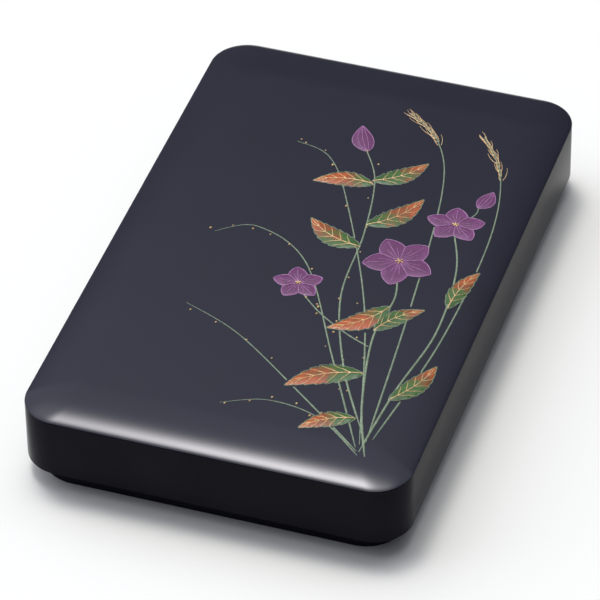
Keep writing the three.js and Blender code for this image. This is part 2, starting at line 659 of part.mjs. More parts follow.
// A handle's length is what the tray leaves between its tail knob and its ferrule.
const handleLength = (brush) =>
  trayInnerLength - BRUSH_END_CLEARANCE - brush.knobLength - SEAT_GAP - capEnd(brush) - brush.capRoom;

// A bamboo handle from y = 0 back to minus its length, with its growth rings, and a bore at each end.
function brushHandle(brush) {
  const radius = brush.handleRadius;
  const length = handleLength(brush);
  const bore = radius * TENON_SHARE + BORE_GAP;
  const half = BAMBOO_RIDGE_LENGTH / 2;
  const profile = [[bore, TENON_LENGTH - length], [bore, -length], [radius, -length]];
  for (const share of brush.bambooNodes) {
    const y = -length + share * length;
    profile.push([radius, y - half], [radius + BAMBOO_RIDGE, y], [radius, y + half]);
  }
  profile.push([radius, 0], [bore, 0], [bore, -TENON_LENGTH], [0, -TENON_LENGTH]);
  return turned([[0, TENON_LENGTH - length], ...profile]);
}

// The tail knob, whose tenon plugs into the handle's back end.
function brushKnob(brush) {
  const { handleRadius: radius, knobLength } = brush;
  const length = handleLength(brush);
  const tenon = radius * TENON_SHARE;
  const face = -length - SEAT_GAP;
  return turned([
    [0, face - knobLength],
    [radius * 0.45, face - knobLength],
    [radius * 0.8, face - knobLength * 0.82],
    [radius * 0.72, face - knobLength * 0.5],
    [radius, face - knobLength * 0.18],
    [radius, face],
    [tenon, face],
    [tenon, -length + TENON_LENGTH - 2 * SEAT_GAP],
    [0, -length + TENON_LENGTH - 2 * SEAT_GAP],
  ]);
}

// The ferrule: a turned sleeve whose tenon plugs into the handle and whose mouth holds the hair.
function brushFerrule(brush) {
  const { handleRadius: radius, ferruleLength } = brush;
  const outer = ferruleRadius(brush);
  const tenon = radius * TENON_SHARE;
  const mouth = outer * HAIR_ROOT_SHARE + BORE_GAP;
  return turned([
    [0, 2 * SEAT_GAP - TENON_LENGTH],
    [tenon, 2 * SEAT_GAP - TENON_LENGTH],
    [tenon, SEAT_GAP],
    [radius, SEAT_GAP],
    [outer, ferruleLength * 0.2],
    [outer, ferruleLength - outer * 0.1],
    [outer * 0.93, ferruleLength],
    [mouth, ferruleLength],
    [mouth, ferruleLength - TENON_LENGTH],
    [0, ferruleLength - TENON_LENGTH],
  ]);
}

// The hair: a bound root in the ferrule, a full belly and a fine point.
function brushHair(brush) {
  const { ferruleLength, hairLength } = brush;
  const hairRadius = ferruleRadius(brush) - brush.hairInset;
  const root = ferruleRadius(brush) * HAIR_ROOT_SHARE;
  const belly = [0.12, 0.3, 0.5, 0.68, 0.82, 0.93].map((share) => [
    hairRadius * Math.cos(Math.max(share - 0.2, 0) * 1.9) ** 0.9,
    ferruleLength + share * hairLength,
  ]);
  return turned([
    [0, ferruleLength - TENON_LENGTH + SEAT_GAP],
    [root, ferruleLength - TENON_LENGTH + SEAT_GAP],
    [root, ferruleLength],
    ...belly,
    [0, ferruleLength + hairLength],
  ]);
}

// The cap: a tube with a closed, rounded end that slides over the ferrule and covers the hair.
function brushCap(brush) {
  const inner = ferruleRadius(brush) + BORE_GAP;
  const outer = capRadius(brush);
  const start = capStart(brush);
  const end = capEnd(brush);
  return turned([
    [inner, start],
    [outer, start],
    [outer, end - brush.capWall * 2],
    [outer - brush.capWall * 0.6, end - brush.capWall * 0.6],
    [outer - brush.capWall * 2, end],
    [0, end],
    [0, end - CAP_END_WALL],
    [inner, end - CAP_END_WALL],
    [inner, start],
  ]);
}

function brushGroup(brush, x) {
  const tail = trayFront + BRUSH_END_CLEARANCE + brush.knobLength + SEAT_GAP;
  return groupAt(
    x, tail + handleLength(brush), brushZ(brush),
    piece(`${brush.name}_handle`, brushHandle(brush), BAMBOO),
    piece(`${brush.name}_end_knob`, brushKnob(brush), HORN),
    piece(`${brush.name}_ferrule`, brushFerrule(brush), HORN),
    piece(`${brush.name}_hair`, brushHair(brush), HAIR),
    piece(`${brush.name}_cap`, brushCap(brush), BRASS),
  );
}

// The paperweight: a bevelled bar with a hole for the knob's stud.
function paperweightBar() {
  const bar = loftSolid([
    insetRing(WEIGHT_WIDTH, WEIGHT_LENGTH, WEIGHT_CORNER, WEIGHT_BEVEL / 3, 0),
    insetRing(WEIGHT_WIDTH, WEIGHT_LENGTH, WEIGHT_CORNER, 0, WEIGHT_BEVEL / 3),
    insetRing(WEIGHT_WIDTH, WEIGHT_LENGTH, WEIGHT_CORNER, 0, WEIGHT_HEIGHT - WEIGHT_BEVEL),
    insetRing(WEIGHT_WIDTH, WEIGHT_LENGTH, WEIGHT_CORNER, WEIGHT_BEVEL, WEIGHT_HEIGHT),
  ]);
  const low = WEIGHT_HEIGHT - STUD_LENGTH - SEAT_GAP;
  return bar.subtract(uprightCylinder(STUD_RADIUS + BORE_GAP, 0, 0, low, WEIGHT_HEIGHT + CUT_OVERSHOOT));
}

// The paperweight's knob, turned in one piece with its stud.
function paperweightKnob() {
  const knob = turned([
    [0, -STUD_LENGTH + SEAT_GAP],
    [STUD_RADIUS, -STUD_LENGTH + SEAT_GAP],
    [STUD_RADIUS, SEAT_GAP],
    [KNOB_RADIUS * 0.75, SEAT_GAP],
    [KNOB_NECK_RADIUS, KNOB_HEIGHT * 0.3],
    [KNOB_RADIUS * 0.85, KNOB_HEIGHT * 0.5],
    [KNOB_RADIUS, KNOB_HEIGHT * 0.68],
    [KNOB_RADIUS * 0.8, KNOB_HEIGHT * 0.88],
    [KNOB_RADIUS * 0.35, KNOB_HEIGHT],
    [0, KNOB_HEIGHT],
  ]);
  return knob.rotate([90, 0, 0]);
}

function boardGroup() {
  return groupAt(
    boardX, 0, insertBase,
    piece("stone_board", stoneBoard(), BLACK_LACQUER),
    groupAt(0, stoneY, stoneZ, piece("inkstone", inkstone(), SLATE)),
    groupAt(0, inkY, inkZ, piece("ink_stick", inkStick(), INK_CAKE)),
    groupAt(
      0, dropperY, dropperZ,
      piece("dropper_pan", dropperPan(), BRONZE),
      groupAt(
        0, 0, DROPPER_PAN_HEIGHT + SEAT_GAP,
        piece("dropper_top", dropperTop(), BRONZE),
        groupAt(spoutX, spoutY, DROPPER_WALL * 2, piece("dropper_spout", dropperSpout(), BRONZE)),
      ),
    ),
  );
}

function trayGroup() {
  const onFloor = TRAY_FLOOR + SEAT_GAP;
  const rests = [["brush_rest_front", FRONT_REST_DISTANCE], ["brush_rest_rear", REAR_REST_DISTANCE]];
  return groupAt(
    trayX, 0, insertBase,
    piece("tray_floor", trayFloor(), BLACK_LACQUER),
    ...boardPieces("tray", trayWalls()),
    groupAt(dividerX, 0, onFloor, piece("tray_divider", trayDivider(), BLACK_LACQUER)),
    ...rests.map(([name, distance]) =>
      groupAt(0, trayFront + distance, onFloor, piece(name, brushRest(), BLACK_LACQUER)),
    ),
    brushGroup(LARGE_BRUSH, largeX),
    brushGroup(SMALL_BRUSH, smallX),
    groupAt(
      weightX, trayFront + WEIGHT_END_CLEARANCE + WEIGHT_LENGTH / 2, onFloor,
      piece("paperweight_bar", paperweightBar(), BRASS),
      groupAt(0, 0, WEIGHT_HEIGHT, piece("paperweight_knob", paperweightKnob(), BRASS)),
    ),
  );
}

const writingBox = new THREE.Group();
writingBox.add(
  piece("lid_shell", lidShell(), BLACK_LACQUER),
  piece("body_floor", bodyFloor(), BLACK_LACQUER),
  ...boardPieces("body", bodyWalls()),
  boardGroup(),
  trayGroup(),
);

export default writingBox;
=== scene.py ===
# %% [markdown]
# # A lacquered writing box
#
# A low box of black lacquered wood with a crowned lid. Under the lid lie an inkstone, an ink stick, a water dropper,
# two brushes and a paperweight. The model's sizes come from its CAD frame. This lesson gives each piece its finished
# mesh and a material built from nodes, then sets a floor, a light and a camera around it.
#
# The frame is loaded first, because every piece has to sit where the CAD says.

# %% Load the frame
import random
from math import atan, atan2, cos, exp, hypot, log, pi, radians, sin, sqrt, tan
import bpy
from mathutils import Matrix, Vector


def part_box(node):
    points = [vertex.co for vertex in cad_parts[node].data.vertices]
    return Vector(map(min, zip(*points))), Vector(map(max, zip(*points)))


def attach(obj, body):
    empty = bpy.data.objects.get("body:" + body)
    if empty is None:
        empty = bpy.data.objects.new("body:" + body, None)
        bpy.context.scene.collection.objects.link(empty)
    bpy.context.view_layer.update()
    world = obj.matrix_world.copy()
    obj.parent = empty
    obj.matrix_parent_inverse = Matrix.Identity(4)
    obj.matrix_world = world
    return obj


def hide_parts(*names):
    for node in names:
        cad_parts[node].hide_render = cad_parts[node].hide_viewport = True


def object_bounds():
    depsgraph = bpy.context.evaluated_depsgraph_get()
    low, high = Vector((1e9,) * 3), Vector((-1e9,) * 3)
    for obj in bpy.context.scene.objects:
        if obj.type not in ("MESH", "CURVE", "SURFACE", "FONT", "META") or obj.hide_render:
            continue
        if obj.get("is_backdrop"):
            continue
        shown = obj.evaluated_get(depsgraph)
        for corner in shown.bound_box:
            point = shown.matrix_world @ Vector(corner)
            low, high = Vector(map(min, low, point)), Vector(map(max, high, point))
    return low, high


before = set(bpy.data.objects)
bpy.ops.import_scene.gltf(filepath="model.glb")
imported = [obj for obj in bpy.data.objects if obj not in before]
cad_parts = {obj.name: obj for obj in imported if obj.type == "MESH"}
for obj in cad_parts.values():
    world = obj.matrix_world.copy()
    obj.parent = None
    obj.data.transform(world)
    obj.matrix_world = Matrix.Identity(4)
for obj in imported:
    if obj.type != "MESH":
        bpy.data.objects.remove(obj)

from types import SimpleNamespace

import bmesh
import bpy
from mathutils import Matrix, Vector

cad_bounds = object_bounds()
print("CAD box in mm:", [[round(v * 1000, 1) for v in corner] for corner in cad_bounds])

# %% [markdown]
# ## Helpers for meshes
#
# Nearly every piece here is a rounded rectangle that changes its size as it rises, or a turned form. So one helper
# draws a ring with rounded corners, one puts a skin over a stack of rings, and one turns a profile about an axis.
# Boxes with a Bevel modifier could be used instead, but then the crown and the sunk wells would be hard to shape.
# Sizes are written in millimetres, as a maker would, and become metres when the mesh is made.

# %% Mesh helpers
MM = 0.001
CORNER_STEPS, LEAST_RADIUS = 16, 0.05
SMOOTH_ANGLE = radians(32)


def box_of(*nodes):
    """The box round these CAD nodes, in mm: its low and high corner, and its centre, width and length from above."""
    boxes = [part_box(node) for node in nodes]
    low = [min(box[0][axis] for box in boxes) * 1000 for axis in range(3)]
    high = [max(box[1][axis] for box in boxes) * 1000 for axis in range(3)]
    return SimpleNamespace(low=low, high=high, width=high[0] - low[0], length=high[1] - low[1],
                           centre=((low[0] + high[0]) / 2, (low[1] + high[1]) / 2))


def ring(width, length, corners, z, inset=0.0, centre=(0.0, 0.0), sides=(1, 1)):
    """A rounded rectangle from above, anticlockwise from its +X side. sides cuts the straights along X and along Y."""
    four = corners if isinstance(corners, tuple) else (corners,) * 4
    arcs = []
    for number, (sx, sy) in enumerate(((1, 1), (-1, 1), (-1, -1), (1, -1))):
        radius = max(four[number] - inset, LEAST_RADIUS)
        cx = centre[0] + sx * (width / 2 - inset - radius)
        cy = centre[1] + sy * (length / 2 - inset - radius)
        angles = [(number + step / CORNER_STEPS) * pi / 2 for step in range(CORNER_STEPS + 1)]
        arcs.append([(cx + radius * cos(a), cy + radius * sin(a)) for a in angles])
    points = []
    for number, arc in enumerate(arcs):
        points += arc
        start, end = arc[-1], arcs[(number + 1) % 4][0]
        shares = [cut / sides[number % 2] for cut in range(1, sides[number % 2])]
        points += [(start[0] + (end[0] - start[0]) * s, start[1] + (end[1] - start[1]) * s) for s in shares]
    return [(x, y, z) for x, y in points]


def loft(rings, around=False):
    """Points and faces of a skin over a stack of rings, with flat ends, or joined end to end if around."""
    count = len(rings[0])
    points = [point for one in rings for point in one]
    faces = []
    for row in range(len(rings) if around else len(rings) - 1):
        low, high = row * count, (row + 1) % len(rings) * count
        for i in range(count):
            j = (i + 1) % count
            faces.append((low + i, low + j, high + j, high + i))
    if not around:
        last = (len(rings) - 1) * count
        faces.append(tuple(range(count - 1, -1, -1)))
        faces.append(tuple(range(last, last + count)))
    return points, faces


def circle(radius, distance, centre, along, sides):
    """Points round an axis along Y or Z through centre. A radius of 0 gives one point on the axis."""
    points = []
    for side in range(sides if radius else 1):
        a, b = radius * cos(2 * pi * side / sides), radius * sin(2 * pi * side / sides)
        local = (b, distance, a) if along == "Y" else (a, b, distance)
        points.append(tuple(c + l for c, l in zip(centre, local)))
    return points


def turned(profile, centre=(0.0, 0.0, 0.0), along="Y", sides=64):
    """Points and faces of a profile of (radius, distance) turned about an axis through centre.

    It runs from a point on the axis to another, with the outside on the right. If it never touches the axis, it is
    closed on itself.
    """
    rows = [circle(radius, distance, centre, along, sides) for radius, distance in profile]
    if all(radius for radius, _ in profile):
        return loft(rows, around=True)
    faces, low = [], 0
    for row, after in zip(rows, rows[1:]):
        high = low + len(row)
        for i in range(sides):
            j = (i + 1) % sides
            if len(row) == 1:
                faces.append((low, high + j, high + i))
            elif len(after) == 1:
                faces.append((low + i, low + j, high))
            else:
                faces.append((low + i, low + j, high + j, high + i))
        low = high
    return [point for row in rows for point in row], faces


def quarter(wall, level, radius, inward=1, upward=1, steps=4):
    """A quarter round from an upright wall at an inset to a flat face at a level, as (inset, z) pairs.

    inward and upward are 1 or -1: to which side of the wall the face runs, and whether it lies above or below it.
    """
    angles = [step / steps * pi / 2 for step in range(steps + 1)]
    return [(wall + inward * radius * (1 - cos(a)), level - upward * radius * (1 - sin(a))) for a in angles]


def rings_along(section, box, corners, sides=(1, 1)):
    """One ring in a box's outline for each (inset, z) of a section."""
    return [ring(box.width, box.length, corners, z, inset, box.centre, sides) for inset, z in section]


def eased(points, per_span=6):
    """A smooth curve through all the points, as (x, y) pairs."""
    padded = [points[0], *points, points[-1]]
    curve = []
    for before, start, end, after in zip(padded, padded[1:], padded[2:], padded[3:]):
        for step in range(per_span):
            t = step / per_span
            curve.append(tuple(
                0.5 * (2 * s + (e - b) * t + (2 * b - 5 * s + 4 * e - a) * t**2 + (3 * s - b - 3 * e + a) * t**3)
                for b, s, e, a in zip(before, start, end, after)
            ))
    return curve + [tuple(points[-1])]


def link_object(name, mesh):
    made = bpy.data.objects.new(name, mesh)
    bpy.context.scene.collection.objects.link(made)
    return made


def make_object(name, points, faces, material, smooth=SMOOTH_ANGLE):
    """A mesh object at the origin from points in mm. Edges sharper than smooth stay crisp."""
    mesh = bpy.data.meshes.new(name)
    mesh.from_pydata([Vector(point) * MM for point in points], [], faces)
    mesh.update()
    mesh.shade_smooth()
    mesh.set_sharp_from_angle(angle=smooth)
    mesh.materials.append(material)
    return link_object(name, mesh)


def apply_modifiers(made):
    """Turns the object with its modifiers into a plain mesh."""
    graph = bpy.context.evaluated_depsgraph_get()
    mesh = bpy.data.meshes.new_from_object(made.evaluated_get(graph))
    made.modifiers.clear()
    old, made.data = made.data, mesh
    bpy.data.meshes.remove(old)
    return made


def drill(centre, radius, low, high, sides, finish):
    """An upright cylinder to cut a round hole with."""
    profile = [(0, low), (radius, low), (radius, high), (0, high)]
    return make_object("drill", *turned(profile, (*centre, 0), "Z", sides), finish)


def cut_out(made, cutters):
    """Cuts closed objects out of another, and deletes them."""
    for cutter in cutters:
        step = made.modifiers.new("cut", "BOOLEAN")
        step.operation, step.solver, step.object = "DIFFERENCE", "EXACT", cutter
    apply_modifiers(made)
    for cutter in cutters:
        bpy.data.meshes.remove(cutter.data)
    return made


def soften(made, width, segments=3, angle=SMOOTH_ANGLE):
    """Rounds the crisp edges by a bevel of that width in mm. The large faces then decide how the shading runs."""
    step = made.modifiers.new("soft edges", "BEVEL")
    step.width, step.segments, step.limit_method, step.angle_limit = width * MM, segments, "ANGLE", angle
    apply_modifiers(made)
    made.data.shade_smooth()
    made.data.set_sharp_from_angle(angle=SMOOTH_ANGLE)
    made.modifiers.new("even shading", "WEIGHTED_NORMAL").keep_sharp = True
    return apply_modifiers(made)


def weld(made, distance, flat_angle=0.0):
    """Joins points that lie within distance, in mm, and faces that meet at less than flat_angle, if it is given."""
    work = bmesh.new()
    work.from_mesh(made.data)
    bmesh.ops.remove_doubles(work, verts=work.verts, dist=distance * MM)
    if flat_angle:
        bmesh.ops.dissolve_limit(work, angle_limit=flat_angle, verts=work.verts, edges=work.edges)
    else:
        bmesh.ops.dissolve_degenerate(work, edges=work.edges, dist=distance * MM / 10)
    work.to_mesh(made.data)
    work.free()
    return made


def dress(made, body, nodes=()):
    """Lets a finished piece ride on its body, in the place of these CAD nodes."""
    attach(made, body)
    if nodes:
        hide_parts(*nodes)
    print(f"{made.name}: {len(made.data.polygons)} faces, rides on {body}")
    return made


# %% [markdown]
# ## Helpers for materials
#
# A colour is easiest to read as the hex code that a screen shows, but Blender's sockets take linear light, so one
# function turns one into the other. One more adds a node with its settings, values and links. Most finishes here are
# built alike: a noise moves the colour a little, the same noise or another moves the gloss, and one of them lifts the
# surface. So a third function wires that, and a finish with something of its own adds its nodes to it.

# %% Material helpers
GLOSS_FROM = 0.3


def colour(code):
    """An sRGB hex colour as linear RGBA."""
    parts = [int(code[i:i + 2], 16) / 255 for i in (1, 3, 5)]
    return tuple(c / 12.92 if c <= 0.04045 else ((c + 0.055) / 1.055) ** 2.4 for c in parts) + (1.0,)


def wire(tree, node, inputs):
    """Sets a node's sockets to values, or links them to other nodes' sockets."""
    for key, value in inputs.items():
        if isinstance(value, bpy.types.NodeSocket):
            tree.links.new(value, node.inputs[key])
        else:
            node.inputs[key].default_value = value


def add(tree, kind, inputs=None, stops=None, **settings):
    """Adds a node. inputs takes values or other nodes' sockets, and stops the (place, hex colour) pairs of a ramp."""
    node = tree.nodes.new(kind)
    for name, value in settings.items():
        setattr(node, name, value)
    wire(tree, node, inputs or {})
    for number, (place, code) in enumerate(stops or []):
        elements = node.color_ramp.elements
        element = elements[number] if number < 2 else elements.new(place)
        element.position, element.color = place, colour(code)
    return node


def start_material(name, **sockets):
    """A new material with a Principled shader. Returns the material, its tree and the shader."""
    material = bpy.data.materials.new(name)
    material.use_nodes = True
    tree = material.node_tree
    tree.nodes.clear()
    values = {key.replace("_", " "): value for key, value in sockets.items()}
    shader = add(tree, "ShaderNodeBsdfPrincipled", inputs=values)
    add(tree, "ShaderNodeOutputMaterial", inputs={"Surface": shader.outputs[0]})
    return material, tree, shader


def grained(name, grains, stops, shade=0, gloss=None, gloss_to=0.7, relief=None, **sockets):
    """A finish from noises in the piece's own space. Returns the material and a dictionary of its parts.

    grains: each noise's scale, one number or one for each axis, and its detail. stops: the colours over noise number
    shade. gloss: a noise's number and the roughness at its low and high end. relief: a noise's number, the strength
    and the height in mm of the bump.
    """
    material, tree, shader = start_material(name, **sockets)
    place = add(tree, "ShaderNodeTexCoord").outputs["Object"]
    noises = []
    for size, detail in grains:
        where, scale = place, size
        if isinstance(size, tuple):
            where, scale = add(tree, "ShaderNodeMapping", inputs={0: place, 3: size}).outputs[0], 1.0
        noise = add(tree, "ShaderNodeTexNoise", inputs={"Vector": where, "Scale": scale, "Detail": detail})
        noises.append(noise.outputs[0])
    ends = {"Base Color": add(tree, "ShaderNodeValToRGB", inputs={0: noises[shade]}, stops=stops).outputs[0]}
    if gloss:
        number, low, high = gloss
        ends["Roughness"] = add(tree, "ShaderNodeMapRange", inputs={
            0: noises[number], 1: GLOSS_FROM, 2: gloss_to, 3: low, 4: high}).outputs[0]
    if relief:
        number, strength, height = relief
        ends["Normal"] = add(tree, "ShaderNodeBump", inputs={
            "Strength": strength, "Distance": height * MM, "Height": noises[number]}).outputs[0]
    wire(tree, shader, ends)
    return material, {"tree": tree, "shader": shader, "place": place, "noises": noises, **ends}


print("black and white as linear colours:", colour("#000000"), colour("#ffffff"))


# %% [markdown]
# ## Black lacquer
#
# The box is wood under many coats of black lacquer. The outside is polished to a mirror with fine powder, so it is
# nearly black by itself and shows the room. Its slate-blue look comes from the room's cool panel, and in part from a
# blue tint in its black, which is a painted reflection. The inside is left satin.
# One tree serves both. A slow noise moves the colour and the roughness a little, as hand polishing does, and a very
# shallow swell of about 30 mm keeps a reflection from being ruler straight. Fine polishing dust is drawn at 0.7 mm,
# a little coarser than it is, so that it shows. The upright faces get a weaker mirror and a paler black: on the real
# box they show a darker table than this white floor, and a lower index of refraction gives them back their deep
# black. Their paler colour is a painted reflection of that darker table.

# %% Lacquer
SWELL_SCALE, DUST_SCALE, DUST_SHARE, GLOSS_PLAY = 33.0, 1400.0, 0.12, 0.07


def lacquer(name, deep, worn, roughness, swell, index=1.52, mirror=0.33):
    material, parts = grained(
        name, [(SWELL_SCALE, 2.0), (DUST_SCALE, 2.0)], [(0.35, deep), (0.7, worn)],
        gloss=(0, roughness * (1 - GLOSS_PLAY), roughness * (1 + GLOSS_PLAY)), relief=(0, 1.0, swell),
        IOR=index, Specular_IOR_Level=mirror)
    dust = add(parts["tree"], "ShaderNodeMath", operation="MULTIPLY_ADD",
               inputs={0: parts["noises"][1], 1: roughness * DUST_SHARE, 2: parts["Roughness"]})
    wire(parts["tree"], parts["shader"], {"Roughness": dust.outputs[0]})
    return material


# The blue tint in the outside's black colours is a painted reflection of the cool panel overhead.
OUTER_LACQUER = lacquer("polished_black_lacquer", "#0a0b1b", "#0c0d1e", 0.14, 0.004)
# The upright faces: a copy of the lacquer whose paler colour is a painted reflection of a darker table.
SIDE_LACQUER_PAINTED_REFLECTION = lacquer("black_lacquer_sides_painted_reflection", "#1c1b21", "#1f1e25", 0.16, 0.004, 1.06, 1.0)
INNER_LACQUER = lacquer("satin_black_lacquer", "#0d0d16", "#13131c", 0.3, 0.02)
print("lacquers:", OUTER_LACQUER.name, SIDE_LACQUER_PAINTED_REFLECTION.name, INNER_LACQUER.name)

# %% [markdown]
# ## The lid
#
# The lid is one closed skin: the dished ceiling, the inner wall, the rounded lower edge of the skirt, the upright
# outside, the crisp arris and the crown. All of them are rings with rounded corners, so the whole lid is one loft.
# The crown rises 3.4 mm over the outer 24 mm and is steepest at the arris. That steep band is what catches the long
# soft highlight at the front, so it gets many rings. Its corners tighten towards the middle, so that the highlight
# runs on into them.

# %% Lid
lid_box = box_of("lid_shell")
LID_CORNER, LID_WALL, LID_ROOF = 16.0, 4.0, 4.0
CROWN_RISE, CROWN_WIDTH, CROWN_POWER = 3.4, 24.0, 2.5
CROWN_INNER_CORNER, CROWN_CORNER_POWER = 6.0, 1.4
EDGE_ROLL, EDGE_ROLL_WIDTH = 0.18, 1.0
ARRIS_ROUND, SKIRT_ROUND, SKIRT_INNER_ROUND = 0.45, 0.35, 0.5
ROOF_LAND, DOME_RISE, DOME_WIDTH = 5.0, 2.8, 18.0
CROWN_RINGS, CROWN_CROWDING, DOME_RINGS, ARRIS_RINGS = 40, 1.5, 16, 6
skirt_bottom = lid_box.low[2]
arris_height = lid_box.high[2] - CROWN_RISE


def crown(inset, width=CROWN_WIDTH, rise=CROWN_RISE):
    """How far the crown has risen at a distance in from the edge."""
    return rise * (1 - (1 - min(max(inset, 0.0) / width, 1.0)) ** CROWN_POWER)


def roll(inset):
    """The crown of the outside, which rolls over a little more steeply in its last millimetre."""
    share = EDGE_ROLL / CROWN_RISE
    return crown(inset) * (1 - share) + EDGE_ROLL * (1 - exp(-max(inset, 0.0) / EDGE_ROLL_WIDTH))


def lid_outline(inset, z):
    left = 1 - min(inset / CROWN_WIDTH, 1)
    corner = CROWN_INNER_CORNER + (LID_CORNER - CROWN_INNER_CORNER) * left ** CROWN_CORNER_POWER
    return ring(lid_box.width - 2 * inset, lid_box.length - 2 * inset, corner, z)


ceiling = arris_height - LID_ROOF
lid_rings = []
for step in range(DOME_RINGS, -1, -1):
    inset = DOME_WIDTH * step / DOME_RINGS
    drawn_in = LID_WALL + ROOF_LAND + inset
    lid_rings.append(ring(lid_box.width - 2 * drawn_in, lid_box.length - 2 * drawn_in, LID_CORNER - LID_WALL,
                          ceiling + crown(inset, DOME_WIDTH, DOME_RISE)))
lid_wall = quarter(LID_WALL, ceiling, SKIRT_INNER_ROUND)[::-1]
lid_wall += quarter(LID_WALL, skirt_bottom, SKIRT_INNER_ROUND, -1, -1)
skirt_edge = quarter(0, skirt_bottom, SKIRT_ROUND, 1, -1)[::-1]
lid_rings += rings_along(lid_wall + skirt_edge, lid_box, LID_CORNER)
arris_turn = pi / 2 - atan(CROWN_RISE * CROWN_POWER / CROWN_WIDTH + EDGE_ROLL / EDGE_ROLL_WIDTH)
arris_tangent = ARRIS_ROUND * tan(arris_turn / 2)
for step in range(ARRIS_RINGS + 1):
    angle = arris_turn * step / ARRIS_RINGS
    lid_rings.append(lid_outline(ARRIS_ROUND * (1 - cos(angle)),
                                 arris_height - arris_tangent + ARRIS_ROUND * sin(angle)))
arris_inset = ARRIS_ROUND * (1 - cos(arris_turn))
for step in range(1, CROWN_RINGS + 1):
    inset = arris_inset + (CROWN_WIDTH - arris_inset) * (step / CROWN_RINGS) ** CROWN_CROWDING
    lid_rings.append(lid_outline(inset, arris_height + roll(inset)))
lid = make_object("lid", *loft(lid_rings), OUTER_LACQUER)


def finish_rows(made, rings, first, last, finish):
    """Gives the faces between two rings of a loft another finish. Row 0 brings the first ring's own cap."""
    if finish.name not in made.data.materials:
        made.data.materials.append(finish)
    slot = made.data.materials.find(finish.name)
    per_row, caps = len(rings[0]), len(made.data.polygons) - 2
    for polygon in made.data.polygons[:caps]:
        if first <= polygon.index // per_row < last:
            polygon.material_index = slot
    if first == 0:
        made.data.polygons[caps].material_index = slot


inner_rows = DOME_RINGS + 1 + len(lid_wall)
outer_rows = inner_rows + len(skirt_edge)
finish_rows(lid, lid_rings, 0, inner_rows, INNER_LACQUER)
# The skirt and the arris take the upright faces' lacquer, with its painted reflection.
finish_rows(lid, lid_rings, inner_rows, outer_rows + 2, SIDE_LACQUER_PAINTED_REFLECTION)
dress(lid, "lid", ["lid_shell"])

# %% [markdown]
# ## Lines that follow a path
#
# Painted stems, leaf veins and the hairs of a brush are all thin lines that follow a path and grow thinner along it.
# Geometry Nodes suit them: the script gives only the middle line of each and its thickness, and one small tree
# turns them all into closed round lines. Bevelled curve objects would do the same, but one by one.

# %% Line tree
def start_tree(name, inputs, output):
    """A new Geometry Nodes tree with these named inputs and one output. Returns it and its input node."""
    tree = bpy.data.node_groups.new(name, "GeometryNodeTree")
    for label, kind in inputs.items():
        tree.interface.new_socket(label, in_out="INPUT", socket_type="NodeSocket" + kind)
    tree.interface.new_socket(output, in_out="OUTPUT", socket_type="NodeSocketGeometry")
    return tree, add(tree, "NodeGroupInput")


def end_tree(tree, given, shape):
    """Makes a tree's instances real, gives them the finish and puts them out."""
    real = add(tree, "GeometryNodeRealizeInstances", inputs={0: shape})
    finished = add(tree, "GeometryNodeSetMaterial",
                   inputs={"Geometry": real.outputs[0], "Material": given.outputs["Finish"]})
    add(tree, "NodeGroupOutput", inputs={0: finished.outputs[0]})


line_tree, given = start_tree(
    "lines_along_paths", {"Paths": "Geometry", "Sides": "Int", "Finish": "Material"}, "Lines")
thickness = add(line_tree, "GeometryNodeInputNamedAttribute", data_type="FLOAT", inputs={"Name": "thickness"})
curves = add(line_tree, "GeometryNodeMeshToCurve", inputs={"Mesh": given.outputs["Paths"]})
sized = add(line_tree, "GeometryNodeSetCurveRadius",
            inputs={"Curve": curves.outputs[0], "Radius": thickness.outputs[0]})
outline = add(line_tree, "GeometryNodeCurvePrimitiveCircle",
              inputs={"Resolution": given.outputs["Sides"], "Radius": 1.0})
radius = add(line_tree, "GeometryNodeInputRadius")
tubes = add(line_tree, "GeometryNodeCurveToMesh",
            inputs={"Curve": sized.outputs[0], "Profile Curve": outline.outputs[0], "Scale": radius.outputs[0],
                    "Fill Caps": True})
end_tree(line_tree, given, tubes.outputs[0])


def run_tree(made, tree, values):
    """Runs a Geometry Nodes tree on an object, with its named inputs set, and keeps the result as a plain mesh."""
    step = made.modifiers.new("tree", "NODES")
    step.node_group = tree
    for item in tree.interface.items_tree:
        if item.in_out == "INPUT" and item.name in values:
            step[item.identifier] = values[item.name]
    apply_modifiers(made)
    made.data.shade_smooth()
    return made


def draw_lines(name, paths, finish, sides=8):
    """One mesh of round lines from paths of (x, y, z, radius) in mm."""
    points, edges, sizes = [], [], []
    for path in paths:
        start = len(points)
        points += [Vector(step[:3]) * MM for step in path]
        sizes += [step[3] * MM for step in path]
        edges += [(i, i + 1) for i in range(start, len(points) - 1)]
    mesh = bpy.data.meshes.new(name)
    mesh.from_pydata(points, edges, [])
    mesh.attributes.new("thickness", "FLOAT", "POINT").data.foreach_set("value", sizes)
    return run_tree(link_object(name, mesh), line_tree, {"Sides": sides, "Finish": finish})


print("line tree:", len(line_tree.nodes), "nodes")

# %% [markdown]
# ## Colours of the painted lid
#
# Decorated lids are painted in coloured lacquer, thick enough to be felt, with lines of gold powder over it. The
# leaves turn from green to orange, as they do in autumn, the flowers are purple with paler edges, and the stems are
# a greyed green. Each leaf and petal carries an attribute that says where on it a point lies, so that the
# colours follow its shape. A noise of about 1 mm gives the uneven cover of a brush.

# %% Painted finishes
PATCH_SCALE, PATCH_WANDER, COVER_FROM, COVER_TO = 170.0, 0.9, 0.35, 0.65


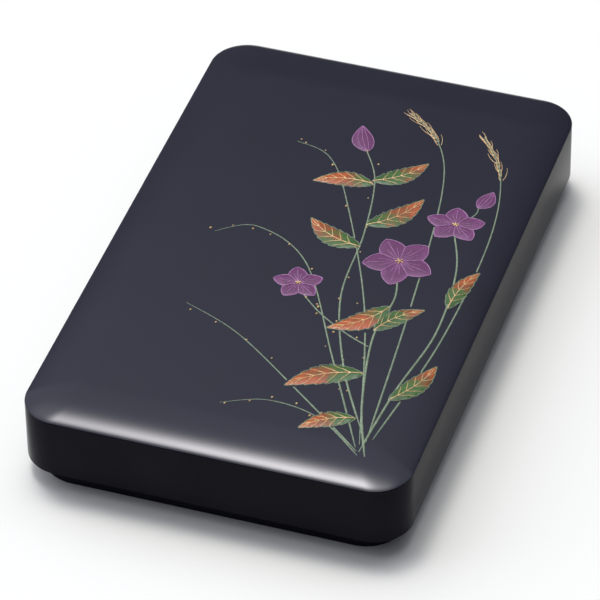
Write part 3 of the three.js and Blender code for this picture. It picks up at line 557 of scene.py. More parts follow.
def painted(name, roughness, stops, cover=0.25, attribute="", grain=900.0, metallic=0.0):
    """Coloured lacquer. The ramp runs over the attribute's first number, or over the noise if there is none."""
    material, parts = grained(name, [(grain, 3.0)], stops, relief=(0, 0.3, 0.04), IOR=1.5, Metallic=metallic)
    tree, speckle = parts["tree"], parts["noises"][0]
    if attribute:
        where = add(tree, "ShaderNodeAttribute", attribute_name=attribute)
        axes = add(tree, "ShaderNodeSeparateXYZ", inputs={0: where.outputs["Vector"]})
        tinted = add(tree, "ShaderNodeMath", operation="ADD", inputs={0: axes.outputs["X"], 1: axes.outputs["Z"]})
        patches = add(tree, "ShaderNodeTexNoise",
                      inputs={"Vector": parts["place"], "Scale": PATCH_SCALE, "Detail": 2.0})
        wander = add(tree, "ShaderNodeMath", operation="MULTIPLY_ADD",
                     inputs={0: patches.outputs[0], 1: PATCH_WANDER, 2: -PATCH_WANDER / 2})
        source = add(tree, "ShaderNodeMath", operation="ADD", inputs={0: tinted.outputs[0], 1: wander.outputs[0]})
        wire(tree, parts["Base Color"].node, {0: source.outputs[0]})
    thin = add(tree, "ShaderNodeMapRange", inputs={0: speckle, 1: COVER_FROM, 2: COVER_TO, 3: 1 - cover, 4: 1.0})
    covered = add(tree, "ShaderNodeVectorMath", operation="SCALE",
                  inputs={0: parts["Base Color"], "Scale": thin.outputs[0]})
    gloss = add(tree, "ShaderNodeMapRange",
                inputs={0: speckle, 1: COVER_FROM, 2: COVER_TO, 3: roughness + 0.08, 4: roughness - 0.04})
    wire(tree, parts["shader"], {"Base Color": covered.outputs[0], "Roughness": gloss.outputs[0]})
    return material


LEAF_PAINT = painted("green_and_orange_lacquer", 0.34, attribute="leaf_place", stops=[
    (0.0, "#335c1e"), (0.42, "#406c22"), (0.62, "#944d18"), (0.8, "#bb5714")])
PETAL_PAINT = painted("purple_lacquer", 0.34, attribute="petal_place", stops=[
    (0.0, "#94588c"), (0.3, "#702f64"), (0.75, "#692a5c"), (1.0, "#7c3a70")])
STEM_PAINT = painted("grey_green_lacquer", 0.36, stops=[(0.35, "#7e9172"), (0.65, "#92a582")])
EDGE_PAINT = painted("lilac_lacquer", 0.36, stops=[(0.35, "#a36b9d"), (0.65, "#b580ab")])
GOLD_DUST = painted("sprinkled_gold_powder", 0.38, metallic=0.35, cover=0.3, grain=1600.0,
                    stops=[(0.35, "#e2b674"), (0.65, "#f6d8a2")])
print("painted finishes:", LEAF_PAINT.name, PETAL_PAINT.name, STEM_PAINT.name, EDGE_PAINT.name, GOLD_DUST.name)

# %% [markdown]
# ## The painted lid
#
# The design is bellflowers and autumn grasses, an old and common one, and stands in the right half of the lid. Leaves
# and petals are thin domed patches laid on the crown. Each is a rule from its own coordinates (how far along it,
# how far across) to a place on the lid, so that its mesh and its veins come from the same rule and fit together. An
# image texture could hold the picture, but raised paint catches the light along its edges.

# %% Leaves
LEAF_RISE, PAINT_SINK, PAINT_UNDER = 0.4, 0.05, 0.25
LEAF_COLUMNS = (1.0, 0.66, 0.33, 0.0, -0.33, -0.66, -1.0)
TOOTH_DEPTH, TOOTH_STEPS = 0.15, (0.02, 0.35, 0.7, 0.94)
LEAF_BELLY, LEAF_TAPER, LEAF_LEAST = 0.8, 0.9, 0.004
BUD_FROM, BUD_RUN, BUD_STEPS = 0.01, 0.98, 20
LEAVES = [
    # base, tip, width, bend, teeth, how far it has turned orange
    ((45, -66), (17, -82), 12, -3.0, 8, 0.10), ((41, -40), (57, -22), 9, 2.0, 7, -0.15),
    ((59, -78), (71, -52), 9, -2.0, 8, 0.00), ((43, -24), (22, -44), 11, 3.0, 8, 0.22),
    ((65, -18), (71, 8), 8, 1.5, 7, 0.05), ((20, 8), (-5, 20), 11, 3.0, 8, -0.05),
    ((18, 22), (36, 45), 11, -3.0, 8, 0.12), ((13, 48), (-12, 43), 10, -2.5, 8, 0.25),
    ((12, 50), (31, 68), 10, -2.5, 8, -0.10), ((50, -92), (30, -104), 9, -2.0, 7, 0.02),
]
BUDS = [((4, 68), (-3, 84), 9, 1.0, 0, 0.1), ((59, 46), (62, 58), 7, -0.5, 0, 0.1)]


def lid_top(x, y):
    return arris_height + roll(min(lid_box.width / 2 - abs(x), lid_box.length / 2 - abs(y)))


def on_leaf(leaf, along, across, lift=0.0):
    """The place on the lid, in mm, of a point along (0 to 1) and across (-1 to 1) a leaf."""
    (base_x, base_y), (tip_x, tip_y), width, bend, teeth, _ = leaf
    run_x, run_y = tip_x - base_x, tip_y - base_y
    length = hypot(run_x, run_y)
    half = width / 2 * max(sin(pi * along ** LEAF_BELLY), LEAF_LEAST) ** LEAF_TAPER
    if teeth:
        half *= 1 - TOOTH_DEPTH * (1 - (along * teeth) % 1)
    aside = bend * 4 * along * (1 - along) + half * across
    x = base_x + run_x * along - run_y / length * aside
    y = base_y + run_y * along + run_x / length * aside
    rise = LEAF_RISE * (1 - across ** 2) * min(1.0, half / 1.5)
    return x, y, lid_top(x, y) + rise - PAINT_SINK + lift


def leaf_patch(leaf):
    """Points, faces and leaf places of one closed patch."""
    teeth = leaf[4]
    if teeth:
        stations = [(tooth + step) / teeth for tooth in range(teeth) for step in TOOTH_STEPS]
    else:
        stations = [BUD_FROM + BUD_RUN * step / BUD_STEPS for step in range(BUD_STEPS + 1)]
    rings, places = [], []
    for along in stations:
        across_ring = [on_leaf(leaf, along, across) for across in LEAF_COLUMNS]
        under = [on_leaf(leaf, along, across) for across in (-1.0, 1.0)]
        rings.append(across_ring + [(x, y, z - PAINT_UNDER) for x, y, z in under])
        places += [(along, across, leaf[5]) for across in (*LEAF_COLUMNS, -1.0, 1.0)]
    return (*loft(rings), places)


def join_patches(name, patches, finish, attribute):
    """One object from several patches, with their places kept as an attribute."""
    points, faces, places = [], [], []
    for patch_points, patch_faces, patch_places in patches:
        start = len(points)
        points += patch_points
        places += patch_places
        faces += [tuple(start + corner for corner in face) for face in patch_faces]
    made = make_object(name, points, faces, finish, radians(70))
    flat = [number for place in places for number in place]
    made.data.attributes.new(attribute, "FLOAT_VECTOR", "POINT").data.foreach_set("vector", flat)
    return made


dress(join_patches("lid_painted_leaves", [leaf_patch(leaf) for leaf in LEAVES], LEAF_PAINT, "leaf_place"), "lid")
dress(join_patches("lid_painted_buds", [leaf_patch(bud) for bud in BUDS], PETAL_PAINT, "petal_place"), "lid")

# %% Flowers
PETALS, NOTCH, FLOWER_RISE, FLOWER_STEPS = 5, 0.62, 0.42, 70
FLOWER_RINGS = (1.0, 0.93, 0.82, 0.68, 0.52, 0.36, 0.2, 0.06)
FLOWERS = [((38, 4), 15.0, 0.35, 1.0, 0.0), ((53, 33), 12.5, 1.1, 0.86, 0.06), ((3, -21), 10.5, 0.0, 0.92, -0.04)]


def on_flower(flower, angle, share, lift=0.0):
    """The place on the lid, in mm, of a point at an angle and a share of the way from a flower's heart to its edge."""
    (middle_x, middle_y), size, turn, squash, _ = flower
    gap = abs(2 * ((PETALS * angle / (2 * pi)) % 1) - 1)
    point = 1 - gap + 0.12 * gap * (1 - gap)
    reach = size * share * (NOTCH + (1 - NOTCH) * point * share)
    x = middle_x + reach * cos(angle + turn)
    y = middle_y + reach * sin(angle + turn) * squash
    ridge = 0.6 + 0.4 * point
    return x, y, lid_top(x, y) + FLOWER_RISE * ridge * (0.4 + 0.6 * share) * (1 - share ** 6) - PAINT_SINK + lift


def flower_patch(flower):
    angles = [2 * pi * step / FLOWER_STEPS for step in range(FLOWER_STEPS)]
    under = [(x, y, z - PAINT_UNDER) for x, y, z in (on_flower(flower, angle, 1.0) for angle in angles)]
    rings = [under] + [[on_flower(flower, angle, share) for angle in angles] for share in FLOWER_RINGS]
    places = [(share, 0.0, flower[4]) for share in (1.0, *FLOWER_RINGS) for _ in angles]
    return (*loft(rings), places)


dress(join_patches("lid_painted_flowers", [flower_patch(one) for one in FLOWERS], PETAL_PAINT, "petal_place"), "lid")

# %% Stems, veins and edges
STEMS = [
    # points, thickness at the start and at the end
    ([(60, -112), (50, -84), (42, -45), (43, -18), (38, 0)], 0.62, 0.42),
    ([(57, -110), (60, -72), (65, -34), (62, 4), (54, 28)], 0.6, 0.4),
    ([(56, 36), (59, 42), (59, 46)], 0.35, 0.3),
    ([(42, -50), (31, -45), (17, -36), (5, -25)], 0.42, 0.32),
    ([(53, -96), (36, -64), (22, -24), (19, 16), (13, 50), (4, 68)], 0.52, 0.32),
    ([(56, -110), (24, -84), (-10, -58), (-36, -46)], 0.5, 0.14),
    ([(55, -108), (30, -60), (2, -8), (-24, 8), (-40, 0)], 0.5, 0.14),
    ([(56, -106), (34, -30), (6, 34), (-10, 60), (-26, 66)], 0.5, 0.14),
    ([(58, -104), (51, -24), (42, 50), (31, 82), (14, 98)], 0.5, 0.2),
    ([(60, -102), (68, -40), (69, 26), (62, 68), (48, 92)], 0.5, 0.2),
    ([(57, -112), (36, -96), (14, -92), (-4, -99)], 0.42, 0.12),
]
VEIN, EDGE, LINE_SINK, UNDER_PAINT = 0.22, 0.2, 0.35, 1.2
VEIN_PAIRS, VEIN_SPACING, BUD_LINE_STEPS, STAMEN_LIFT, STAMEN_SIZE = 5, 6.6, 16, 0.12, 0.26
PETAL_LINES = [
    # place across the petal, start and end on the way to its edge, radius
    (0.0, 0.18, 1.0, 0.26), (0.5, 0.22, 0.9, 0.17), (0.3, 0.26, 0.72, 0.13), (0.7, 0.26, 0.72, 0.13),
]
COVER_MARGIN, COVER_SHARE, STEM_STEPS, STEM_START, STEM_SWELL = 0.4, 0.85, 24, 0.35, 0.08


def is_covered(x, y):
    """Whether a flower or a leaf is painted over this place."""
    for (middle_x, middle_y), size, turn, squash, _ in FLOWERS:
        off_x, off_y = x - middle_x, (y - middle_y) / squash
        edge = on_flower(((0, 0), size, 0.0, 1.0, 0), atan2(off_y, off_x) - turn, 1.0)
        if hypot(off_x, off_y) < hypot(edge[0], edge[1]) - COVER_MARGIN:
            return True
    for (base_x, base_y), (tip_x, tip_y), width, bend, _, _ in LEAVES + BUDS:
        run_x, run_y = tip_x - base_x, tip_y - base_y
        length = hypot(run_x, run_y)
        along = ((x - base_x) * run_x + (y - base_y) * run_y) / length ** 2
        aside = ((y - base_y) * run_x - (x - base_x) * run_y) / length - bend * 4 * along * (1 - along)
        half = width / 2 * max(sin(pi * along ** LEAF_BELLY), 0.0) ** LEAF_TAPER if 0.1 < along < 0.96 else 0.0
        if abs(aside) < half * COVER_SHARE:
            return True
    return False


def stem_path(points, thick, thin, sink=True):
    """The middle line of a stem, thin at its foot, and sunk out of sight where it passes under a flower or a leaf."""
    curve = eased(points, STEM_STEPS)
    path = []
    for step, (x, y) in enumerate(curve):
        size = thick + (thin - thick) * step / (len(curve) - 1)
        size *= min(1.0, STEM_START + STEM_SWELL * step)
        depth = UNDER_PAINT if sink and is_covered(x, y) else LINE_SINK * size
        path.append((x, y, lid_top(x, y) - depth, size))
    return path


def leaf_line(leaf, route, thick, thin):
    """A line over a leaf, through points given along and across it."""
    curve = eased(route, 6)
    sizes = [thick + (thin - thick) * step / (len(curve) - 1) for step in range(len(curve))]
    return [(*on_leaf(leaf, along, across, -0.1 * size), size) for (along, across), size in zip(curve, sizes)]


def leaf_edges(leaf):
    """Both edges of a leaf, tooth by tooth."""
    stations = [(tooth + step) / leaf[4] for tooth in range(leaf[4]) for step in TOOTH_STEPS]
    return [[(*on_leaf(leaf, along, side), EDGE) for along in stations] for side in (-1, 1)]


veins = []
for leaf in LEAVES:
    veins.append(leaf_line(leaf, [(0.0, 0.0), (0.5, 0.0), (0.97, 0.0)], VEIN * 1.3, VEIN * 0.6))
    for pair in range(1, VEIN_PAIRS + 1):
        start = pair / VEIN_SPACING
        for side in (-1, 1):
            route = [(start, 0.0), (start + 0.07, side * 0.4), (start + 0.17, side * 0.9)]
            veins.append(leaf_line(leaf, route, VEIN, VEIN * 0.5))
green_lines = [stem_path(*stem) for stem in STEMS] + [edge for leaf in LEAVES for edge in leaf_edges(leaf)]

lilac_lines, stamens = [], []
for flower in FLOWERS:
    around = [2 * pi * step / FLOWER_STEPS for step in range(FLOWER_STEPS + 1)]
    lilac_lines.append([(*on_flower(flower, angle, 1.0), 0.3) for angle in around])
    for petal in range(PETALS):
        for across, start, end, size in PETAL_LINES:
            angle = 2 * pi * (petal + across) / PETALS
            shares = [start + (end - start) * step / 10 for step in range(11)]
            lilac_lines.append([(*on_flower(flower, angle, share), size) for share in shares])
        angle = 2 * pi * (petal + 0.5) / PETALS
        stamens.append([(*on_flower(flower, angle, share, STAMEN_LIFT), STAMEN_SIZE)
                        for share in (0.02, 0.06, 0.1, 0.14, 0.18)])
for bud in BUDS:
    for across in (-1.0, -0.45, 0.0, 0.45, 1.0):
        size = 0.24 if abs(across) == 1 else 0.14
        lilac_lines.append([(*on_leaf(bud, BUD_FROM + BUD_RUN * step / BUD_LINE_STEPS, across), size)
                            for step in range(BUD_LINE_STEPS + 1)])
dress(draw_lines("lid_painted_stems", green_lines, STEM_PAINT), "lid")
dress(draw_lines("lid_painted_petal_lines", lilac_lines, EDGE_PAINT), "lid")

# %% [markdown]
# ## Gold on the lid
#
# The veins, the stamens and the heads of the grasses are drawn in gold powder, and drops of dew lie along the stems.
# The grass heads are many short strokes, and the dew is one small ball on each of many points: Geometry Nodes put
# a ball on every point, and a fixed seed gives each its own size.

# %% Gold lines
PLUME_STROKES, PLUME_SEED, PLUME_STEPS, PLUME_DROOP = 30, 11, 6, 0.6
PLUME_FROM, PLUME_RUN, PLUME_THICK, PLUME_THIN = 0.74, 0.25, 0.2, 0.12
plume_random = random.Random(PLUME_SEED)
gold_lines = veins + stamens
for stem in (STEMS[8], STEMS[9]):
    curve = eased(stem[0], 12)
    for stroke in range(PLUME_STROKES):
        side, up_plume = (-1) ** stroke, stroke / PLUME_STROKES
        index = int((PLUME_FROM + PLUME_RUN * up_plume) * (len(curve) - 1))
        (x, y), (next_x, next_y) = curve[index], curve[min(index + 1, len(curve) - 1)]
        heading = atan2(next_y - y, next_x - x) + side * plume_random.uniform(0.25, 0.6)
        length = plume_random.uniform(5.0, 9.0) * (1.1 - 0.5 * up_plume)
        path = []
        for step in range(PLUME_STEPS + 1):
            x += cos(heading) * length / PLUME_STEPS
            y += sin(heading) * length / PLUME_STEPS
            heading -= side * PLUME_DROOP / PLUME_STEPS
            size = PLUME_THICK - PLUME_THIN * step / PLUME_STEPS
            path.append((x, y, lid_top(x, y) - LINE_SINK * size, size))
        gold_lines.append(path)
dress(draw_lines("lid_gold_lines", gold_lines, GOLD_DUST), "lid")

# %% Gold dew
DEW_FROM, DEW_EVERY, DEW_STRAY, DEW_SEED, DEW_SMALL, DEW_LARGE = 16, 10, 2.2, 5, 0.32, 0.62
dew_tree, given = start_tree(
    "drops_on_points",
    {"Points": "Geometry", "Smallest": "Float", "Largest": "Float", "Seed": "Int", "Finish": "Material"}, "Drops")
ball = add(dew_tree, "GeometryNodeMeshIcoSphere", inputs={"Radius": 1.0, "Subdivisions": 2})
sizes = add(dew_tree, "FunctionNodeRandomValue", data_type="FLOAT",
            inputs={2: given.outputs["Smallest"], 3: given.outputs["Largest"], 8: given.outputs["Seed"]})
drops = add(dew_tree, "GeometryNodeInstanceOnPoints",
            inputs={"Points": given.outputs["Points"], "Instance": ball.outputs[0], "Scale": sizes.outputs[1]})
end_tree(dew_tree, given, drops.outputs[0])

dew_random = random.Random(DEW_SEED)
dew_points = []
for stem in STEMS[3:8] + STEMS[10:]:
    for x, y, _, _ in stem_path(*stem, sink=False)[DEW_FROM::DEW_EVERY]:
        x, y = x + dew_random.uniform(-DEW_STRAY, DEW_STRAY), y + dew_random.uniform(-DEW_STRAY, DEW_STRAY)
        dew_points.append(Vector((x, y, lid_top(x, y))) * MM)
for flower in FLOWERS:
    dew_points.append(Vector(on_flower(flower, 0.0, 0.0, 0.15)) * MM)
dew_mesh = bpy.data.meshes.new("lid_gold_dew")
dew_mesh.from_pydata(dew_points, [], [])
dew = link_object("lid_gold_dew", dew_mesh)
run_tree(dew, dew_tree,
         {"Smallest": DEW_SMALL * MM, "Largest": DEW_LARGE * MM, "Seed": DEW_SEED, "Finish": GOLD_DUST})
dress(dew, "lid")

# %% [markdown]
# ## The body
#
# The body is joined from boards, but lacquer covers every joint, so it shows as one form. It is one loft too: the
# underside, the foot, the outer wall, the rim, the inner wall, a small cove and the floor. Only a strip of it shows
# below the closed lid.

# %% Body
BODY_NODES = [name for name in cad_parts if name.startswith("body_")]
body_box, floor_box = box_of(*BODY_NODES), box_of("body_floor")
BODY_CORNER, BODY_WALL, FOOT_ROUND, RIM_ROUND, COVE = 16.5, 3.6, 0.6, 0.8, 1.2
FOOT_BEVEL, RECESS_COVE, RECESS_RISE = 0.3, 1.0, 0.4
recess, floor_top = floor_box.low[2], floor_box.high[2]
underside = [(BODY_WALL + RECESS_COVE, recess), (BODY_WALL, recess - RECESS_RISE), (BODY_WALL, FOOT_BEVEL),
             (BODY_WALL - FOOT_BEVEL, 0.0)]
outside = quarter(0, 0, FOOT_ROUND, 1, -1, 6)[::-1] + quarter(0, body_box.high[2], RIM_ROUND)
inside = quarter(BODY_WALL, body_box.high[2], RIM_ROUND, -1)[::-1] + quarter(BODY_WALL, floor_top, COVE, 1, -1)
body_rings = rings_along(underside + outside + inside, body_box, BODY_CORNER)
# The outer wall takes the upright faces' lacquer, with its painted reflection. The underside and the inside are satin.
body = make_object("box_body_lacquered", *loft(body_rings), SIDE_LACQUER_PAINTED_REFLECTION)
finish_rows(body, body_rings, 0, len(underside) - 1, INNER_LACQUER)
finish_rows(body, body_rings, len(underside) + len(outside), len(body_rings), INNER_LACQUER)
body.data.polygons[-1].material_index = body.data.materials.find(INNER_LACQUER.name)
dress(body, "box_body", BODY_NODES)

# %% [markdown]
# ## The board
#
# The inkstone, the ink stick and the water dropper each lie in a pocket of a loose board, with a finger scoop at
# both ends of the stone. A pocket is cut into a rounded slab, so a Boolean modifier is the natural tool: fine lofted
# cutters give round corners, and a small bevel afterwards softens every edge as lacquer does.

# %% Board
SLAB_CHAMFER, BOARD_TOP_ROUND, BOARD_EDGE_BEVEL = 1.6, 0.6, 0.35
INSERT_CORNER, BOARD_INNER_CORNER, POCKET_GAP = 12.4, 2.0, 0.4
SCOOP_RADIUS, SCOOP_OVERLAP, SCOOP_SIDES = 9.0, 2.7, 72
STONE_POCKET, INK_POCKET, DROPPER_POCKET = 4.0, 3.0, 4.0
CUT_ABOVE = 2.0

board_box = box_of("stone_board")
board_corners = (INSERT_CORNER, BOARD_INNER_CORNER, BOARD_INNER_CORNER, INSERT_CORNER)
board_under, board_top = board_box.low[2], board_box.high[2]
slab = [(SLAB_CHAMFER, board_under), (0, board_under + SLAB_CHAMFER), *quarter(0, board_top, BOARD_TOP_ROUND)]
board_rings = rings_along(slab, board_box, board_corners)
board = make_object("stone_board_lacquered", *loft(board_rings), INNER_LACQUER)
cutters = []
for node, corner, depth in (("inkstone", 4.0, STONE_POCKET), ("ink_stick", 3.0, INK_POCKET),
                            ("dropper_pan", 7.0, DROPPER_POCKET)):
    section = [(-POCKET_GAP, board_top - depth), (-POCKET_GAP, board_top + CUT_ABOVE)]
    cutters.append(make_object("pocket", *loft(rings_along(section, box_of(node), corner)), INNER_LACQUER))
stone_box = box_of("inkstone")
for end in (-1, 1):
    scoop_y = stone_box.centre[1] + end * (stone_box.length / 2 + POCKET_GAP - SCOOP_OVERLAP)
    cutters.append(drill((stone_box.centre[0], scoop_y), SCOOP_RADIUS, board_top - STONE_POCKET, board_top + CUT_ABOVE,
                         SCOOP_SIDES, INNER_LACQUER))
cut_out(board, cutters)
soften(board, BOARD_EDGE_BEVEL)
dress(board, "board", ["stone_board"])

# %% [markdown]
# ## The inkstone
#
# The stone is dark slate, sawn, ground and honed by hand. Its top is a landscape: a raised rim, a rubbing surface and
# a bank that turns down into the pool. A height rule makes it. Rings run from the outer edge to the well's outline and
# on, parallel to it, to the middle line, and each point takes its height from where it lies. Because the rings keep
# to the outline, the well's walls come out even. The rule rounds its edges, as honing does.
#
# Slate is fine grained and matt. Its material has faint darker bands along the bed, a few paler flecks, and tiny
# pits. A rubbing surface that has been used is a little smoother, which the material leaves out.

# %% Inkstone
STONE_RIM, STONE_BACK_RIM, WELL_CORNER = 6.0, 7.0, 8.0
LAND_DEPTH, LAND_SLOPE, POOL_DEPTH, POOL_LENGTH, BANK_LENGTH = 2.4, 1.0, 9.0, 24.0, 16.0
STONE_EDGE, STONE_CORNER, STONE_SIDES = 0.9, 4.0, (44, 80)
WALL_LIP, WALL_WIDTH, WALL_LEAN, BANK_POWER = 0.25, 0.9, 0.16, 1.2
WELL_FROM, WELL_STEP, FINE_RINGS, COARSE_RINGS = -0.6, 0.15, 25, 20
MIDDLE_GAP, MIDDLE_WELD = 0.4, 0.02
well_half = stone_box.width / 2 - STONE_RIM


def smooth_step(share):
    share = min(max(share, 0.0), 1.0)
    return share * share * (3 - 2 * share)


def well_floor(y):
    """Depth of the well's floor below the rim: the rubbing surface, the bank and the pool."""
    back = stone_box.high[1] - STONE_BACK_RIM
    bank_end = back - POOL_LENGTH + BANK_LENGTH / 3
    bank_start = back - POOL_LENGTH - BANK_LENGTH
    land_share = (y - stone_box.low[1] - STONE_RIM) / (bank_start - stone_box.low[1] - STONE_RIM)
    land = LAND_DEPTH + LAND_SLOPE * min(max(land_share, 0.0), 1.0)
    return land + (POOL_DEPTH - land) * smooth_step((y - bank_start) / (bank_end - bank_start)) ** BANK_POWER


def well_distance(x, y):
    """How far inside the well's outline a point lies. It is negative outside."""
    low_y, high_y = stone_box.low[1] + STONE_RIM, stone_box.high[1] - STONE_BACK_RIM
    dx = abs(x - stone_box.centre[0]) - (stone_box.width / 2 - STONE_RIM - WELL_CORNER)
    dy = abs(y - (low_y + high_y) / 2) - ((high_y - low_y) / 2 - WELL_CORNER)
    return WELL_CORNER - hypot(max(dx, 0), max(dy, 0)) - min(max(dx, dy), 0)


def stone_top(x, y):
    depth = well_floor(y)
    return stone_box.high[2] - depth * smooth_step((well_distance(x, y) + WALL_LIP) / (WALL_WIDTH + WALL_LEAN * depth))


def well_ring(inset):
    """A ring over the stone's top at a distance inside the well's outline."""
    middle = (stone_box.centre[0], stone_box.centre[1] + (STONE_RIM - STONE_BACK_RIM) / 2)
    length = stone_box.length - STONE_RIM - STONE_BACK_RIM
    flat = ring(2 * well_half, length, WELL_CORNER, 0.0, inset, middle, STONE_SIDES)
    return [(x, y, stone_top(x, y)) for x, y, _ in flat]


stone_side = quarter(0, stone_box.low[2], STONE_EDGE, 1, -1)[::-1] + quarter(0, stone_box.high[2], STONE_EDGE)
stone_rings = rings_along([(STONE_EDGE, stone_box.low[2]), *stone_side], stone_box, STONE_CORNER, STONE_SIDES)
stone_rings += [well_ring(WELL_FROM + WELL_STEP * step) for step in range(FINE_RINGS)]
fine_to = WELL_FROM + WELL_STEP * (FINE_RINGS - 1)
stone_rings += [well_ring(fine_to + (well_half - fine_to - MIDDLE_GAP) * step / COARSE_RINGS)
                for step in range(1, COARSE_RINGS + 1)]
# The innermost ring lies on the middle line, where its two long sides meet and are welded.
middle_x = stone_box.centre[0]
stone_rings.append([(middle_x, y, stone_top(middle_x, y)) for _, y, _ in well_ring(well_half - MIDDLE_WELD)])
points, faces = loft(stone_rings)
faces.pop()

slate, parts = grained(
    "honed_slate", [((60.0, 14.0, 260.0), 5.0), (2200.0, 3.0)],
    [(0.35, "#26282b"), (0.52, "#2e3033"), (0.68, "#383a3c")], gloss=(1, 0.46, 0.66), relief=(1, 0.35, 0.05), IOR=1.5)
tree = parts["tree"]
flecks = add(tree, "ShaderNodeTexVoronoi", inputs={"Vector": parts["place"], "Scale": 420.0})
spot = add(tree, "ShaderNodeValToRGB", inputs={0: flecks.outputs["Distance"]},
           stops=[(0.0, "#5a5b58"), (0.16, "#2e3033")])
mixed = add(tree, "ShaderNodeMix", data_type="RGBA", blend_type="LIGHTEN",
            inputs={0: 0.35, 6: parts["Base Color"], 7: spot.outputs[0]})
wire(tree, parts["shader"], {"Base Color": mixed.outputs[2]})

stone = weld(make_object("inkstone_slate", points, faces, slate), 0.06)
stone.data.shade_smooth()
stone.data.set_sharp_from_angle(angle=radians(50))
dress(stone, "stone", ["inkstone"])

# %% [markdown]
# ## The ink stick
#
# Soot and glue are kneaded, pressed in a pearwood mould and dried. So the stick has rounded edges, a raised border
# round a sunk panel on both faces, and a dull sheen with fine drying wrinkles. On the panel sits a five-petalled plum
# blossom, pressed by the mould and touched with gold, a common ornament on ink sticks.

# %% Ink stick
INK_CORNER, INK_EDGE, INK_BORDER, INK_PANEL, INK_PANEL_ROUND = 3.0, 1.4, 2.6, 0.6, 0.3
ink_box = box_of("ink_stick")
ink_cake = grained("dried_ink_cake", [(320.0, 4.0)], [(0.3, "#111113"), (0.7, "#1a1a1d")],
                   gloss=(0, 0.36, 0.52), relief=(0, 0.4, 0.08), IOR=1.5)[0]


def ink_face(height, direction):
    """The section of one broad face, from the outer edge to the panel. direction is 1 above, -1 below."""
    panel = height - direction * INK_PANEL
    return quarter(0, height, INK_EDGE, 1, direction) + [
        (INK_BORDER, height), (INK_BORDER + INK_PANEL_ROUND, height - direction * INK_PANEL_ROUND * 0.5),
        (INK_BORDER + 1.4 * INK_PANEL_ROUND, panel), (INK_BORDER + 4 * INK_PANEL_ROUND, panel)]


ink_rings = rings_along(ink_face(ink_box.low[2], -1)[::-1] + ink_face(ink_box.high[2], 1), ink_box, INK_CORNER)
dress(make_object("ink_stick_moulded", *loft(ink_rings), ink_cake), "ink", ["ink_stick"])

gold_paint = grained("gold_powder_paint", [(2600.0, 2.0)], [(0.3, "#b98f52"), (0.5, "#e0bb7e"), (0.7, "#f3d9a4")],
                     gloss=(0, 0.3, 0.5), Metallic=0.75)[0]
BLOSSOM_STEPS, BLOSSOM_ROWS, BLOSSOM_NOTCH, BLOSSOM_BASE = 80, 7, 0.62, 0.45


def blossom(centre, radius, base_z, rise):
    """A closed relief of a five-petalled plum blossom, seen from above."""
    rows = [[(centre[0], centre[1], base_z + rise * BLOSSOM_BASE)]]
    for row in range(1, BLOSSOM_ROWS + 1):
        share = row / BLOSSOM_ROWS
        rows.append([])
        for step in range(BLOSSOM_STEPS):
            angle = 2 * pi * step / BLOSSOM_STEPS
            petal = abs(cos(2.5 * angle))
            reach = radius * (BLOSSOM_NOTCH + (1 - BLOSSOM_NOTCH) * petal ** 0.6) * share
            dome = BLOSSOM_BASE + (1 - BLOSSOM_BASE) * sin(pi * min(share * 1.1, 1.0)) * petal ** 0.5
            rows[-1].append((centre[0] + reach * cos(angle), centre[1] + reach * sin(angle),
                             base_z + rise * dome * (1 - share ** 6)))
    # The rows run outwards and down, so the loft of them is turned inside out before its heart is closed.
    points, faces = loft(rows[1:])
    faces = [(face[0], *face[:0:-1]) for face in faces[:-2]] + [faces[-1][::-1]]
    heart = len(points)
    faces += [(heart, step, (step + 1) % BLOSSOM_STEPS) for step in range(BLOSSOM_STEPS)]
    return points + rows[0], faces


flower = blossom((ink_box.centre[0] - 22, ink_box.centre[1]), 5.2, ink_box.high[2] - INK_PANEL - 0.05, 0.55)
dress(make_object("ink_stick_blossom", *flower, gold_paint, radians(60)), "ink")

# %% [markdown]
# ## The water dropper
#
# A small flat vessel of copper sheet, raised and soldered, with an air hole in the middle of its domed top and a
# short spout in one corner. A finger on the air hole stops the flow. The outside is a loft, and the hollow and the
# two holes are cut out of it. The copper is patinated brown: darker in the low places, and worn to a warmer
# metal where a hand rubs it. Its material gives this only as random patches of darker and warmer brown.

# %% Water dropper
DROPPER_CORNER, DROPPER_WALL, DOME_BAND, DROPPER_DOME, DOME_STEPS = 7.0, 1.2, 8.0, 2.0, 12
HOLE_RADIUS, SPOUT_RADIUS, SEAM, PAN_ROUND, SHOULDER_ROUND = 1.4, 2.4, 0.25, 1.2, 0.5
HOLLOW_COVE, BORE_BELOW, BORE_ABOVE, BORE_SIDES, SPOUT_BITE, DROPPER_BEVEL = 0.8, 2.4, 4.0, 40, 0.05, 0.12
pan_box, top_box, spout_box = box_of("dropper_pan"), box_of("dropper_top"), box_of("dropper_spout")
copper = grained("patinated_copper", [(90.0, 5.0), (900.0, 3.0)],
                 [(0.3, "#4a2f22"), (0.52, "#6e4630"), (0.72, "#92613f")],
                 gloss=(0, 0.5, 0.3), gloss_to=0.75, relief=(1, 0.3, 0.05), Metallic=0.9)[0]

shoulder = top_box.high[2] - DROPPER_DOME
vessel = quarter(0, pan_box.low[2], PAN_ROUND, 1, -1)[::-1]
vessel += [(0, pan_box.high[2] - SEAM), (SEAM, pan_box.high[2]), (SEAM, top_box.low[2]), (0, top_box.low[2] + SEAM)]
vessel += quarter(0, shoulder, SHOULDER_ROUND)
vessel += [(SHOULDER_ROUND + (DOME_BAND - SHOULDER_ROUND) * step / DOME_STEPS,
            shoulder + crown(DOME_BAND * step / DOME_STEPS, DOME_BAND, DROPPER_DOME))
           for step in range(1, DOME_STEPS + 1)]
room_floor, room_top = pan_box.low[2] + DROPPER_WALL, shoulder - DROPPER_WALL
hollow = [(DROPPER_WALL + inset, z) for inset, z in (
    (HOLLOW_COVE, room_floor), (0, room_floor + HOLLOW_COVE), (0, room_top), (3.0, room_top + 1.2),
    (DOME_BAND, top_box.high[2] - DROPPER_WALL))]
